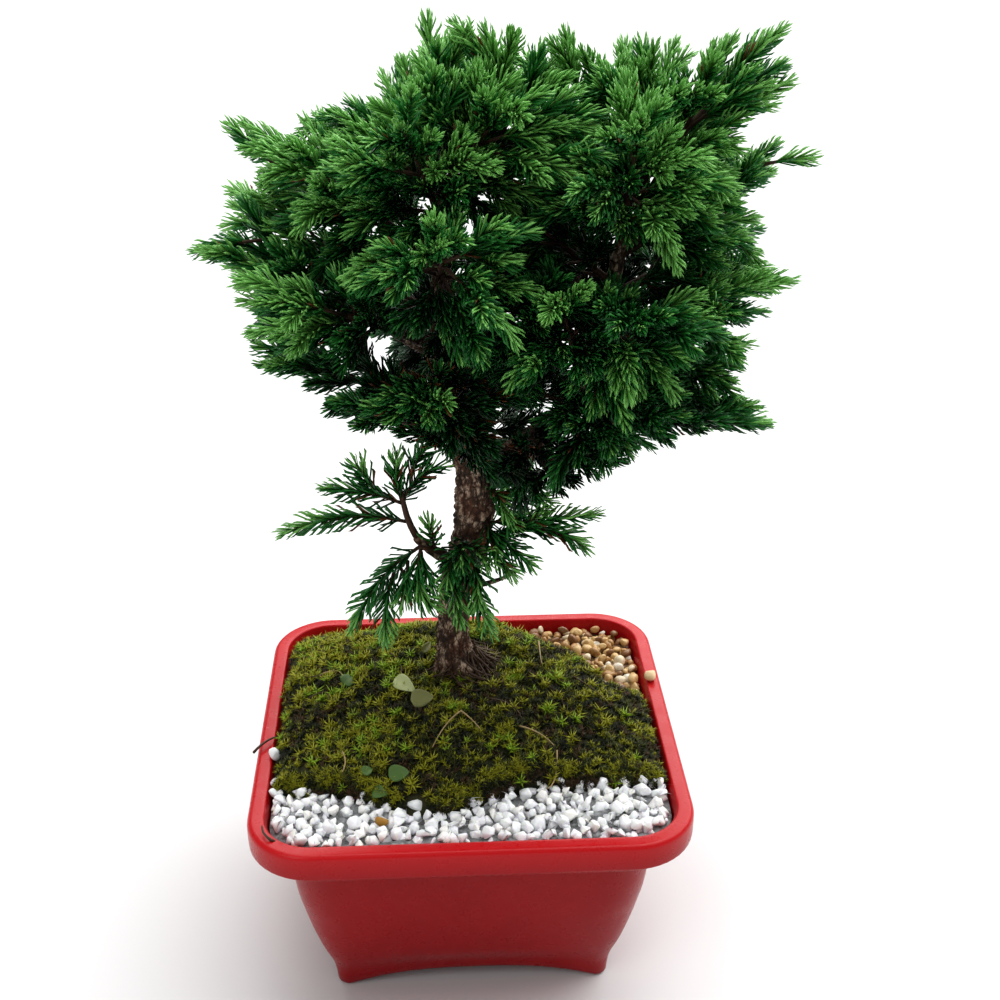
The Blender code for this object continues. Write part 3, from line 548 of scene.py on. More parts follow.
def mossFinish():
    finish = plainFinish("mossBed", tufts["bed"], 0.95)
    wiring = Wiring(finish)
    patches = wiring.noise(160.0, 4.0)
    fibres = wiring.noise(900.0, 3.0, 0.7)
    base = wiring.ramp(patches,
                       ((0.3, (0.010, 0.010, 0.005)), (0.5, (0.028, 0.034, 0.009)), (0.7, (0.045, 0.032, 0.013))))
    wiring.colour(base)
    wiring.bump(fibres, 0.8, 0.0008)
    return finish


def makeMossBed():
    centre = fill["foot"]
    seats = turnSeats(fill["rays"])
    reaches = [reachTo(inMoss, centre, 2 * math.pi * index / fill["rays"]) for index in range(fill["rays"])]

    def ring(share, level=None):
        def place(seat):
            reach = reaches[round(seat.z)] * share
            x, y = centre[0] + seat.x * reach, centre[1] + seat.y * reach
            return spot(x, y, mossLevel(x, y) if level is None else level)
        return place

    shares = [1.0 - (1.0 - step / fill["rings"]) ** 0.9 for step in range(1, fill["rings"] + 1)]
    places = [ring(1.0, fill["bottom"] + 0.4), ring(1.0, 73.0)] + [ring(share) for share in reversed(shares)]
    bm = bmesh.new()
    face, seatLayer = startRing(bm, seats)
    drawOut(bm, face, seatLayer, places)
    finishPiece("mossBed", bakeShape("mossBed", bm), mossFinish(), "moss_green", ["moss_mound"])


def bladeShape(length, width, lean):
    # One moss leaf: a slim three-sided spike that leans out from the shoot's foot.
    bm = bmesh.new()
    bmesh.ops.create_cone(bm, cap_ends=True, segments=3, radius1=width, radius2=0.0, depth=length)
    bmesh.ops.translate(bm, verts=bm.verts, vec=(0, 0, length / 2))
    bmesh.ops.rotate(bm, verts=bm.verts, cent=(0, 0, 0), matrix=Matrix.Rotation(lean, 3, "Y"))
    return shapeArrays(bm)


def tuftShape(pick, count, leans):
    blades = []
    for index in range(count):
        lean = math.radians(pick.uniform(*leans))
        points, faces = bladeShape(pick.uniform(*tufts["bladeLength"]), tufts["bladeWidth"], lean)
        turn = np.array(Matrix.Rotation(index * goldenTurn + pick.uniform(-0.3, 0.3), 3, "Z"))
        blades.append((points @ turn.T + np.array([0, 0, index * 0.09]), faces))
    return joinArrays(blades)


def tuftPlace(pick, x, y, tilt):
    here = Vector((x, y, mossLevel(x, y)))
    slope = Vector((mossLevel(x + 1, y) - mossLevel(x - 1, y), mossLevel(x, y + 1) - mossLevel(x, y - 1), 0)) / 2
    lift = (Vector((-slope.x, -slope.y, 1.0)).normalized()
            + Vector((pick.uniform(-tilt, tilt), pick.uniform(-tilt, tilt), 0))).normalized()
    return here, lift.to_track_quat("Z", "Y").to_matrix() @ Matrix.Rotation(pick.uniform(0, 6.3), 3, "Z")


def mossTone(pick, x, y):
    # Small clumps of each green, with brown ones where the clumps part; tufts are also painted darker, down to brown,
    # in the moss's hollows and lighter on its bumps, as painted shade and light.
    patch = 0.5 * noise.noise(Vector((x, y, 3.0)) / 8.0) + 0.35 * noise.noise(Vector((x, y, 9.0)) / 3.0)
    patch += pick.uniform(-0.4, 0.4)
    # Painted shade and light: darker tones in hollows, lighter ones on bumps.
    around = mossLevel(x + 2, y) + mossLevel(x, y + 2) + mossLevel(x - 2, y) + mossLevel(x, y - 2)
    patch += 0.6 * (mossLevel(x, y) - around / 4)
    if patch < -0.34:
        return "brown"
    return "dark" if patch < 0.0 else "olive" if patch < 0.27 else "fresh"


def makeTufts():
    pick = random.Random(tufts["seed"])
    shapes = [tuftShape(pick, tufts["blades"], tufts["lean"]) for _ in range(tufts["shapes"])]
    shapes += [tuftShape(pick, tufts["starBlades"], tufts["starLean"]) for _ in range(tufts["starShapes"])]
    tones = {"lime": [], "fresh": [], "olive": [], "dark": [], "brown": []}
    placed = 0
    while placed < tufts["fringe"] + tufts["count"] + tufts["stars"]:
        x, y = pick.uniform(-69, 69), pick.uniform(-58, 69)
        if placed < tufts["fringe"]:
            y = mossFront(x) + pick.uniform(0.2, 6.0)
        if any(math.hypot(x - ax, y - ay) < radius for ax, ay, radius in tufts["bare"]):
            continue
        star = placed >= tufts["fringe"] + tufts["count"]
        if not inMoss(x, y) or inStrip(x, y, 1.0) or footGap(x, y) < tufts["footClear"]:
            continue
        clump = noise.noise(Vector((x, y, 30.0)) / 16.0) + 0.010 * (y - x * 0.6)
        if star and clump < tufts["starClump"] and pick.random() > tufts["starStray"]:
            continue
        placed += 1
        here, turned = tuftPlace(pick, x, y, 0.2 if star else 0.4)
        room = min(-brownSide(x, y), pot["rimHalf"] - pot["rimLip"] - max(abs(x), abs(y)))
        size = pick.uniform(*tufts["starSize" if star else "size"]) * (0.62 + 0.38 * smoothStep(room / 9.0))
        tone = pick.choice(("lime", "fresh", "fresh")) if star else mossTone(pick, x, y)
        number = tufts["shapes"] + pick.randrange(tufts["starShapes"]) if star else pick.randrange(tufts["shapes"])
        tones[tone].append((number, here * mm, np.array(turned) * size * mm))
    for tone, rows in tones.items():
        title = "moss" + tone.capitalize()
        finishCopies(title, copiesByShape(shapes, rows), plainFinish(title, tufts[tone], 0.6), "moss_green")


makeMossBed()
makeTufts()
print("moss made")


# Gravel
gravel = {
    "seed": 23, "chipShapes": 12, "chipFlatness": (0.62, 0.95), "pebbleShapes": 8, "pebbleFlatness": (0.55, 0.8),
    "stripCount": 110,
    # Layers: share of the stones, height, and how far apart they keep.
    "layers": ((0.52, -0.2, 0.74), (0.32, 1.0, 0.80), (0.16, 2.1, 1.1)),
    "whiteTop": 77.3, "brownTop": 74.5, "stripTop": 73.8, "whiteCount": 800, "brownCount": 480,
    "whiteSize": (1.9, 3.5), "brownSize": (1.5, 3.1),
    "whites": (((0.90, 0.91, 0.92), 6), ((0.86, 0.87, 0.89), 3), ((0.90, 0.89, 0.86), 3)),
    "browns": (((0.40, 0.22, 0.08), 4), ((0.62, 0.42, 0.19), 4), ((0.24, 0.12, 0.05), 3), ((0.72, 0.60, 0.42), 2),
               ((0.80, 0.74, 0.62), 1)),
}


def stoneShape(pick, cuts, flatness):
    # A round lump with flats pressed into it, like a broken chip.
    bm = bmesh.new()
    bmesh.ops.create_icosphere(bm, subdivisions=2, radius=1.0)
    for corner in bm.verts:
        corner.co *= 1.0 + 0.10 * noise.noise(corner.co * 2.0 + Vector((pick.random() * 0.1, cuts, flatness)))
    for _ in range(cuts):
        facing = Vector((pick.gauss(0, 1), pick.gauss(0, 1), pick.gauss(0, 1))).normalized()
        depth = pick.uniform(0.42, 0.78)
        for corner in bm.verts:
            over = corner.co.dot(facing) - depth
            if over > 0:
                corner.co -= facing * over * 0.92
    bmesh.ops.scale(bm, vec=(1.0, pick.uniform(0.7, 0.95), flatness), verts=bm.verts)
    return shapeArrays(bm)


def chipShape(pick, flatness):
    # A broken chip: the hull of a few points, its edges worn a little.
    bm = bmesh.new()
    for _ in range(11):
        place = Vector((pick.gauss(0, 1), pick.gauss(0, 1), pick.gauss(0, 1))).normalized()
        bmesh.ops.create_vert(bm, co=place * pick.uniform(0.9, 1.08))
    hull = bmesh.ops.convex_hull(bm, input=bm.verts[:])
    loose = {item for item in hull["geom_interior"] + hull["geom_unused"] if isinstance(item, bmesh.types.BMVert)}
    bmesh.ops.delete(bm, geom=list(loose), context="VERTS")
    bmesh.ops.bevel(bm, geom=bm.edges[:], offset=0.09, segments=1, profile=0.5, affect="EDGES", material=-1)
    bmesh.ops.scale(bm, vec=(1.0, pick.uniform(0.7, 0.95), flatness), verts=bm.verts)
    return shapeArrays(bm)


def scatterStones(pick, inside, box, top, sizes, count, layers):
    # Stones dropped at random, each kept clear of its near neighbours of the same layer.
    rows = []
    for share, level, apart in layers:
        taken = []
        for _ in range(count * 6):
            if len(taken) >= count * share:
                break
            x, y = pick.uniform(box[0], box[1]), pick.uniform(box[2], box[3])
            size = pick.uniform(*sizes)
            if not inside(x, y, size) or any(math.hypot(x - a, y - b) < (size + c) * apart for a, b, c in taken):
                continue
            taken.append((x, y, size))
            rows.append((x, y, top + level + pick.uniform(-0.4, 0.4), size))
    return rows


def layStones(pick, rows, shapes, colour, roughness, subsurface=0.0, smooth=True):
    # Turns each stone, gives it a shape and a tone, and makes one piece of each tone.
    tones = gravel[colour + "s"]
    bag = [index for index, (_, weight) in enumerate(tones) for _ in range(weight)]
    heaps = [[] for _ in tones]
    for x, y, z, size in rows:
        turned = Vector((pick.gauss(0, 0.5), pick.gauss(0, 0.5), 1)).to_track_quat("Z", "Y").to_matrix()
        turned = turned @ Matrix.Rotation(pick.uniform(0, 6.3), 3, "Z")
        heaps[pick.choice(bag)].append((pick.randrange(len(shapes)), spot(x, y, z), np.array(turned) * size * mm))
    for index, heap in enumerate(heaps):
        finish = plainFinish(colour + "Stone" + str(index), tones[index][0], roughness, subsurface=subsurface)
        finishCopies(colour + "Stones" + str(index), copiesByShape(shapes, heap), finish, "stone_" + colour,
                     smooth=smooth)


def inWhite(x, y, size):
    return insidePot(x, y, size * fill["sink"]) and y < mossFront(x) + 1.5


def inBrown(x, y, size):
    return insidePot(x, y, size * fill["sink"]) and brownSide(x, y) > -1.0


def makeGravel():
    pick = random.Random(gravel["seed"])
    chips = [chipShape(pick, pick.uniform(*gravel["chipFlatness"])) for _ in range(gravel["chipShapes"])]
    pebbles = [stoneShape(pick, 4, pick.uniform(*gravel["pebbleFlatness"])) for _ in range(gravel["pebbleShapes"])]
    layers = gravel["layers"]
    white = scatterStones(pick, inWhite, (-69, 69, -69, -30), gravel["whiteTop"], gravel["whiteSize"],
                          gravel["whiteCount"], layers)
    layStones(pick, white, chips, "white", 0.38, subsurface=0.25, smooth=False)
    brown = scatterStones(pick, inBrown, (0, 69, 0, 69), gravel["brownTop"], gravel["brownSize"],
                          gravel["brownCount"], layers)
    brown += scatterStones(pick, inStrip, (-69, 4, 62, 71), gravel["stripTop"], gravel["brownSize"],
                           gravel["stripCount"], layers[:2])
    layStones(pick, brown, pebbles, "brown", 0.35)


def bedFinish(name, light, dark):
    finish = plainFinish(name, light, 0.8)
    wiring = Wiring(finish)
    wiring.colour(wiring.ramp(wiring.noise(500.0, 4.0), ((0.35, dark), (0.65, light))))
    wiring.bump(wiring.cells(260.0), 0.9, 0.001)
    return finish


makeGravel()
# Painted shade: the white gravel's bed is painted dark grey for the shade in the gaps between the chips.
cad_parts["white_gravel"].data.materials[0] = bedFinish("whiteBed", (0.34, 0.35, 0.36), (0.09, 0.09, 0.085))
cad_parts["brown_gravel"].data.materials[0] = bedFinish("brownBed", (0.22, 0.12, 0.05), (0.03, 0.018, 0.01))
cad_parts["soil"].data.materials[0] = bedFinish("soilGrain", (0.05, 0.03, 0.018), (0.012, 0.008, 0.005))
print("gravel made")


# Small things that lie about
litter = {
    "seed": 31,
    "straws": (
        ((-2.2, -14.7), (-7.8, -20.9), (-12.7, -30.7)), ((-2.2, -15.6), (1.5, -18.6), (4.0, -23.4)),
        ((17.7, -21.3), (24.5, -23.5), (29.5, -29.2)), ((30.4, -31.0), (29.5, -39.6), (26.3, -44.2)),
        ((-54.3, 19.3), (-48.0, 20.5), (-45.4, 13.1)), ((28.6, 30.6), (28.5, 21.9), (28.6, 15.6)),
        ((-43.9, -28.8), (-42.5, -33.9), (-43.6, -38.3))),
    "roots": (
        ((-66.1, 24.6), (-58.8, 18.3), (-54.3, 19.3)), ((-3.9, 4.9), (-0.7, -1.3), (4.8, -3.5)),
        ((-60.0, 5.0), (-52.0, 9.0), (-50.0, 1.0)), ((40.0, 10.0), (47.0, 4.0), (52.0, -6.0)),
        ((8.0, -8.0), (16.0, -10.0), (19.0, -18.0)), ((-28.0, 24.0), (-23.0, 14.0), (-26.0, 6.0))),
    "rimTwigs": (((-76.0, -19.0, 81.4), (-72.5, -13.0, 82.6), (-68.5, -9.0, 81.0)),
                 ((-64.5, -66.0, 79.5), (-68.5, -66.5, 82.6), (-69.0, -61.0, 82.2))),
    "fibres": 130, "wisps": 22, "fibreReach": (3.5, 12.0),
    # Leaves: place, height over the moss, length, width, turn, tilt and tone.
    "leaves": (
        (-23.5, 2.0, 3.4, 11.5, 6.0, -50, 34, "pale"), (-17.4, -8.0, 3.2, 8.4, 7.0, 12, 40, "dry"),
        (-15.0, 24.0, 4.2, 7.5, 3.2, 62, 62, "dry"), (-25.4, -41.0, 2.8, 7.4, 6.4, 15, 28, "green"),
        (-31.5, -45.6, 2.4, 5.6, 5.2, -20, 26, "green"), (-35.6, -39.0, 2.6, 4.4, 4.0, 40, 20, "green"),
        (-44.0, 8.9, 3.4, 6.6, 5.4, 65, 30, "green")),
    # Loose stones: place, three radii and tone.
    "stones": (
        (71.4, 22.6, 82.2, 2.9, 2.7, 2.4, "cream"), (-68.6, -20.0, 81.2, 2.7, 3.0, 2.6, "white"),
        (-18.7, -50.6, 80.2, 3.8, 2.7, 2.3, "white"),
        (-30.1, -57.6, 80.0, 2.9, 2.3, 1.9, "amber"), (-67.3, -33.5, 79.6, 2.1, 2.6, 2.0, "white"),
        (-66.9, -40.5, 79.8, 2.2, 2.4, 1.9, "white"),
        (-33.0, 66.5, 76.8, 2.6, 2.1, 1.9, "white")),
    "tones": {
        "pale": (0.42, 0.46, 0.22), "dry": (0.20, 0.21, 0.075), "green": (0.060, 0.125, 0.018),
        "cream": (0.78, 0.58, 0.34),
        "white": (0.80, 0.82, 0.83), "amber": (0.42, 0.22, 0.035), "straw": (0.36, 0.26, 0.12),
        "root": (0.060, 0.028, 0.012),
        "wisp": (0.24, 0.185, 0.10)},
}


def leafMesh(name, row):
    # A thin leaf folded along its rib, closed all round.
    x, y, over, length, width, turn, tilt, _ = row
    bm = bmesh.new()
    bmesh.ops.create_grid(bm, x_segments=10, y_segments=8, size=1.0)
    for corner in bm.verts:
        along, side = (corner.co.x + 1) / 2, corner.co.y
        half = width / 2 * max(0.03, math.sin(math.pi * min(1.0, along ** 0.62)) ** 0.7)
        corner.co = Vector((length * (along - 0.35), half * side,
                            0.9 * abs(side) * half / width + 0.5 * math.sin(3.2 * along)))
    bmesh.ops.solidify(bm, geom=bm.faces[:], thickness=0.22)
    turned = Matrix.Rotation(math.radians(turn), 3, "Z") @ Matrix.Rotation(math.radians(tilt), 3, "X")
    for corner in bm.verts:
        corner.co = (turned @ corner.co + Vector((x, y, mossLevel(x, y) + over))) * mm
    return bakeShape(name, bm)


def strand(row, low, high, pick):
    # A strand laid over the moss through three places.
    points = [Vector((x, y, mossLevel(x, y) + pick.uniform(low, high))) * mm for x, y in row]
    points[1] += (points[1] - points[0].lerp(points[2], 0.5)) * 0.6
    return curvePoints(*points, 7)


def rootLines(pick, count, turns):
    # Fine roots that leave the trunk's foot, climb down and run out over the moss.
    lines = []
    foot = fill["foot"]
    for _ in range(count):
        turn = math.radians(pick.gauss(*turns))
        reach = pick.uniform(*litter["fibreReach"])
        begin, bend, end = 6.0, 7.0 + 0.4 * reach, 6.0 + reach
        turns3 = (turn, turn + pick.uniform(-0.5, 0.5), turn + pick.uniform(-0.9, 0.9))
        places = []
        for radius, angle, rise in zip((begin, bend, end), turns3,
                                       (pick.uniform(1, 9), pick.uniform(1.5, 5), pick.uniform(0.4, 2.2))):
            x, y = foot[0] + radius * math.cos(angle), foot[1] + radius * math.sin(angle)
            places.append(Vector((x, y, mossLevel(x, y) + rise)) * mm)
        lines.append(curvePoints(*places, 7))
    return lines


def makeLitter():
    pick = random.Random(litter["seed"])
    tones = {name: plainFinish("litter" + name.capitalize(), colour, 0.55) for name,
             colour in litter["tones"].items()}
    for number, row in enumerate(litter["leaves"]):
        finishPiece("leaf" + str(number), leafMesh("leaf" + str(number), row), tones[row[-1]], "moss_green")
    for number, (x, y, z, a, b, c, tone) in enumerate(litter["stones"]):
        points, faces = stoneShape(pick, 6, 1.0)
        part = (points * np.array([a, b, c]) * mm + np.array(spot(x, y, z)), faces)
        finishCopies("looseStone" + str(number), [part], tones[tone],
                     "stone_brown" if tone in ("amber", "cream") else "stone_white")
    groups = {
        "straws": ([strand(row, 1.8, 3.4, pick) for row in litter["straws"]], 0.34, 0.22, "straw"),
        "rootStrands": ([strand(row, 1.6, 2.8, pick) for row in litter["roots"]], 0.30, 0.18, "root"),
        "rimTwigs": ([curvePoints(*[spot(*p) for p in row], 7) for row in litter["rimTwigs"]], 0.55, 0.3, "root"),
        "rootFibres": (rootLines(pick, litter["fibres"], (-18, 62)), 0.42, 0.20, "root"),
        "rootWisps": (rootLines(pick, litter["wisps"], (22, 22)), 0.26, 0.14, "wisp")}
    for name, (lines, thick, thin, tone) in groups.items():
        radii = [tapered(thick, thin, 7) for _ in lines]
        tubes = tubeArrays(np.array(lines, dtype=float), np.array(radii), 6)
        finishCopies(name, [tubes], tones[tone], "bark")


makeLitter()
print("litter made")


# Trunk and limbs
limbs = {
    "trunkLine": (
        (-2.0, 17.0, 91.0, 9.0), (-2.2, 17.0, 94.0, 8.2), (-4.0, 16.5, 101.0, 6.6), (-4.5, 16.0, 110.0, 5.9),
        (-4.0, 15.0, 120.0, 5.9), (-2.0, 15.0, 131.0, 6.3), (1.5, 15.0, 142.0, 7.1), (3.5, 15.0, 154.0, 7.2),
        (4.5, 15.0, 165.0, 7.2), (3.0, 15.0, 176.0, 6.0), (-1.0, 14.5, 186.0, 5.0), (-4.5, 14.0, 198.0, 4.6),
        (-7.0, 13.0, 226.0, 3.8), (-6.0, 12.0, 260.0, 2.7), (-6.0, 10.0, 288.0, 1.6)),
    "rightLine": (
        (4.0, 15.0, 168.0, 5.0), (14.0, 16.0, 177.5, 4.8), (26.0, 16.0, 185.5, 4.4), (35.0, 16.0, 194.5, 4.0),
        (42.0, 15.0, 210.0, 3.5), (50.0, 14.0, 240.0, 2.6), (54.0, 12.0, 272.0, 1.6)),
    "flare": 4.9, "flareHeight": 17.0, "lobes": 5, "relief": 1.0,
    "trunkSides": 110, "trunkStep": 0.62, "leaderSides": 44, "leaderStep": 0.9,
    "bark": (0.082, 0.043, 0.026), "barkDark": (0.012, 0.007, 0.005), "barkPale": (0.58, 0.45, 0.34),
    "twig": (0.050, 0.022, 0.011), "shoot": (0.040, 0.085, 0.015),
}
# Crown masses of each limb: name, height on the limb, heading and rise in degrees, reach, and a bough's share of it.
boughShare = 0.28
crownTable = {
    "trunk": (
        ("left_low", 198, 192, 19, 72, boughShare), ("left_wide", 216, 190, 29, 89, boughShare),
        ("left_back", 230, 160, 24, 82), ("left_high", 248, 187, 39, 79), ("top_left", 268, 122, 47, 50),
        ("front_left_low", 190, 237, 21, 67), ("front_low", 204, 265, 15, 75),
        ("front_left", 220, 227, 25, 84, boughShare), ("front_mid", 236, 270, 27, 92, boughShare),
        ("front_high", 262, 259, 36, 72), ("front_top", 274, 298, 36, 58),
        ("back_left", 252, 117, 7, 86, boughShare), ("back_low", 216, 91, -10, 80), ("low_back", 186, 63, -14, 56),
        ("low_front", 181, 252, 29, 46), ("crown_tip", 288, 120, 80, 42), ("top_middle", 264, 335, 52, 58),
        ("front_centre", 227, 305, 20, 66),),
    "right_leader": (
        ("right_low", 189, 344, 6, 80, boughShare), ("right_mid", 204, 8, 11, 67),
        ("right_wide", 217, 347, 24, 76, boughShare), ("right_back", 236, 29, 12, 71),
        ("centre_inner", 217, 185, 42, 52), ("centre_upper", 241, 200, 36, 50), ("top_centre", 260, 165, 62, 58),
        ("right_high", 251, 352, 27, 66), ("front_right_low", 199, 292, 11, 58),
        ("centre_front", 207, 257, 36, 88, boughShare), ("front_right", 223, 272, 21, 82),
        ("front_right_high", 257, 266, 40, 78), ("back_right", 243, 77, 6, 78, boughShare),
        ("back_right_low", 212, 74, -8, 76), ("centre_back", 230, 112, 15, 76), ("low_right_back", 195, 33, -10, 66),
        ("low_middle", 183, 282, 0, 38), ("right_top", 269, 351, 50, 72), ("top_right", 263, 52, 62, 60),),
}
crownRows = [(row[0], limb, *row[1:5], row[5] if len(row) > 5 else 0.0) for limb,
             rows in crownTable.items() for row in rows]
# The lower masses; their shoots are listed further down.
lowerNames = ("low_left_upper", "low_left_lower", "hanging_front", "low_right")
lowLeftBough = ((0.5, 15.0, 137.0), (-9.0, 9.0, 142.0), (-16.5, 7.0, 152.1))
deadTwig = ((-2.0, 15.0, 127.0), (8.0, 10.0, 130.0), (18.0, 7.0, 137.0))


def smoothLine(rows, step):
    # A Catmull-Rom line through the rows, in metres: points and radii.
    points, radii = [], []
    for index in range(len(rows) - 1):
        quad = [Vector(rows[max(0, min(len(rows) - 1, index + shift))]) for shift in (-1, 0, 1, 2)]
        count = max(1, round((quad[2] - quad[1]).length / step))
        for number in range(count):
            share = number / count
            value = 0.5 * (2 * quad[1] + (quad[2] - quad[0]) * share
                           + (2 * quad[0] - 5 * quad[1] + 4 * quad[2] - quad[3]) * share ** 2
                           + (3 * quad[1] - quad[0] - 3 * quad[2] + quad[3]) * share ** 3)
            points.append(value.to_3d() * mm)
            radii.append(value[3] * mm)
    points.append(Vector(rows[-1][:3]) * mm)
    radii.append(rows[-1][3] * mm)
    return points, radii


def frameAlong(direction):
    direction = direction.normalized()
    side = direction.cross(up)
    if side.length < 0.05:
        side = direction.cross(Vector((0, 1, 0)))
    side.normalize()
    return side, side.cross(direction)


def barkRelief(point, strength):
    # Flaky plates with dark cracks between them, over long knobs.
    place = Vector((point.x, point.y, point.z * 0.62)) / mm
    distances = noise.voronoi(place / 2.3)[0]
    plate = smoothStep((distances[1] - distances[0]) / 0.45)
    fine = noise.voronoi(place / 1.05 + Vector((9, 3, 1)))[0]
    flake = smoothStep((fine[1] - fine[0]) / 0.5)
    knob = noise.noise(place / 6.0)
    return strength * mm * (0.95 * plate + 0.40 * flake + 0.95 * knob + 0.25 * noise.noise(place / 0.6) - 0.9)


def rootFlare(height, turn):
    share = max(0.0, 1.0 - height / (limbs["flareHeight"] * mm))
    lobes = 0.72 + 0.28 * math.cos(limbs["lobes"] * turn + 0.6)
    return limbs["flare"] * mm * share ** 2 * lobes * (0.85 + 0.3 * math.cos(turn + math.radians(30)))


def limbMesh(name, points, radii, sides, strength, level=False, flare=False):
    # One tube along the line, its surface pushed in and out into bark.
    last = len(points) - 1
    directions = [(points[min(i + 1, last)] - points[max(i - 1, 0)]).normalized() for i in range(last + 1)]

    def ring(centre, direction, radius):
        side, rise = (Vector((1, 0, 0)), Vector((0, 1, 0))) if level else frameAlong(direction)

        def place(seat):
            out = side * seat.x + rise * seat.y
            skin = centre + out * radius
            extra = rootFlare(centre.z - points[0].z, math.atan2(seat.y, seat.x)) if flare else 0.0
            return skin + out * (extra + barkRelief(skin, strength * min(1.0, radius / (5 * mm))))
        return place

    places = [ring(point, direction, radius) for point, direction, radius in zip(points, directions, radii)]
    places.append(ring(points[-1] + directions[-1] * radii[-1] * 0.4, directions[-1], radii[-1] * 0.5))
    bm = bmesh.new()
    face, seatLayer = startRing(bm, turnSeats(sides))
    drawOut(bm, face, seatLayer, places)
    return bakeShape(name, bm)


def barkFinish():
    finish = plainFinish("bark", limbs["bark"], 0.85)
    wiring = Wiring(finish)
    tone = wiring.noise(330.0, 5.0, 0.7, stretch=(1.0, 1.0, 0.55))
    cracks = wiring.cells(430.0, stretch=(1.0, 1.0, 0.6))
    patches = wiring.noise(70.0, 3.0)
    plates = wiring.ramp(tone, ((0.32, limbs["barkDark"]), (0.5, limbs["bark"]), (0.62, limbs["barkPale"])))
    warm = wiring.mixed(wiring.spread(patches, 0.45, 0.7, 0.0, 0.55), plates, (0.16, 0.055, 0.022))
    dark = wiring.mixed(wiring.spread(cracks, 0.0, 0.10, 0.85, 0.0), warm, limbs["barkDark"])
    wiring.colour(dark)
    wiring.bump(tone, 0.8, 0.0006)
    return finish


def crownCurve(row, lines):
    _, limb, height, heading, rise, reach, _ = row
    points = lines[limb][0]
    start = min(points, key=lambda point: abs(point.z - height * mm))
    flat = math.cos(math.radians(rise))
    direction = Vector((flat * math.cos(math.radians(heading)), flat * math.sin(math.radians(heading)),
                        math.sin(math.radians(rise))))
    tip = start + direction * reach * mm
    return start, start.lerp(tip, 0.5) + up * 0.06 * reach * mm, tip


def makeLimbs():
    finish = barkFinish()
    lines = {"trunk": smoothLine(limbs["trunkLine"], limbs["trunkStep"]),
             "right_leader": smoothLine(limbs["rightLine"], limbs["leaderStep"])}
    trunk = limbMesh("trunkBark", *lines["trunk"], limbs["trunkSides"], limbs["relief"], level=True, flare=True)
    finishPiece("trunkBark", trunk, finish, "bark", ["trunk"])
    leader = limbMesh("rightLeaderBark", *lines["right_leader"], limbs["leaderSides"], 0.6)
    finishPiece("rightLeaderBark", leader, finish, "bark", ["right_leader"])
    for row in crownRows:
        if not row[6]:
            continue
        curve = crownCurve(row, lines)
        points = [onCurve(curve, row[6] * 1.04 * i / 25) for i in range(26)]
        nearest = min(range(len(lines[row[1]][0])), key=lambda i: abs(lines[row[1]][0][i].z - row[2] * mm))
        foot = min(2.8 * mm, 0.7 * lines[row[1]][1][nearest])
        radii = [foot + (1.7 * mm - foot) * i / 25 for i in range(26)]
        finishPiece("bark_" + row[0], limbMesh("bark_" + row[0], points, radii, 18, 0.55), finish, "bark",
                    ["bough_" + row[0]])
    for name, title, row, count, ends, sides, relief in (
            ("low_left_bough", "bark_low_left", lowLeftBough, 34, (2.8, 1.7), 20, 0.5),
            ("dead_twig", "bark_dead_twig", deadTwig, 30, (1.3, 0.55), 12, 0.35)):
        points = curvePoints(*[spot(*p) for p in row], count)
        finishPiece(title, limbMesh(title, points, tapered(*ends, count), sides, relief), finish, "bark", [name])
    return lines


limbLines = makeLimbs()
print("bark made")


# Foliage
foliage = {
    "seed": 7, "sprayLength": 37.0, "apart": 7.4, "lean": (18, 60), "rounds": 14, "tries": 10,
    "ownSpace": -9.0, "bare": 0.12, "flatten": 0.45, "limbClear": 2.0, "top": 329.0, "ground": 94.0,
    "sideShoots": (0.22, 0.38, 0.55), "sideLean": (20, 34), "sideLength": (15.0, 23.0), "bow": 0.09,
    "longRounds": 8, "flatFront": 20, "flatBelow": 275, "glowReach": 92, "glowFrom": 170, "glowRun": 140,
    "dryReach": 30, "dryLight": 0.62, "dryShares": (0.30, 0.015),
    "needleBends": ((0.34, 1.1), (0.43, 0.9), (0.27, 1.5)),
    # Painted light: the levels of painted light at which needles are dealt to each tone.
    "levels": {"needlesFresh": (0.77, 9), "needlesLeaf": (0.53, 0.77), "needlesDeep": (0.27, 0.53),
               "needlesShade": (-9, 0.27)},
    "needlesPerMm": 3.1, "needleLength": (7.2, 9.2), "needleWidth": 0.46,
    "eye": (-10.47, -447.66, 388.91), "heart": (14.0, 12.0, 225.0), "dryPlace": (-8.0, -12.0, 205.0),
    # Lit and shaded copies of one green, as painted light and shade; the old needles' brown is their own.
    "tones": {
        "needlesFresh": (0.195, 0.46, 0.115), "needlesLeaf": (0.027, 0.170, 0.032),
        "needlesDeep": (0.0055, 0.068, 0.013),
        "needlesShade": (0.0016, 0.017, 0.0035), "needlesOld": (0.13, 0.048, 0.015)},
}
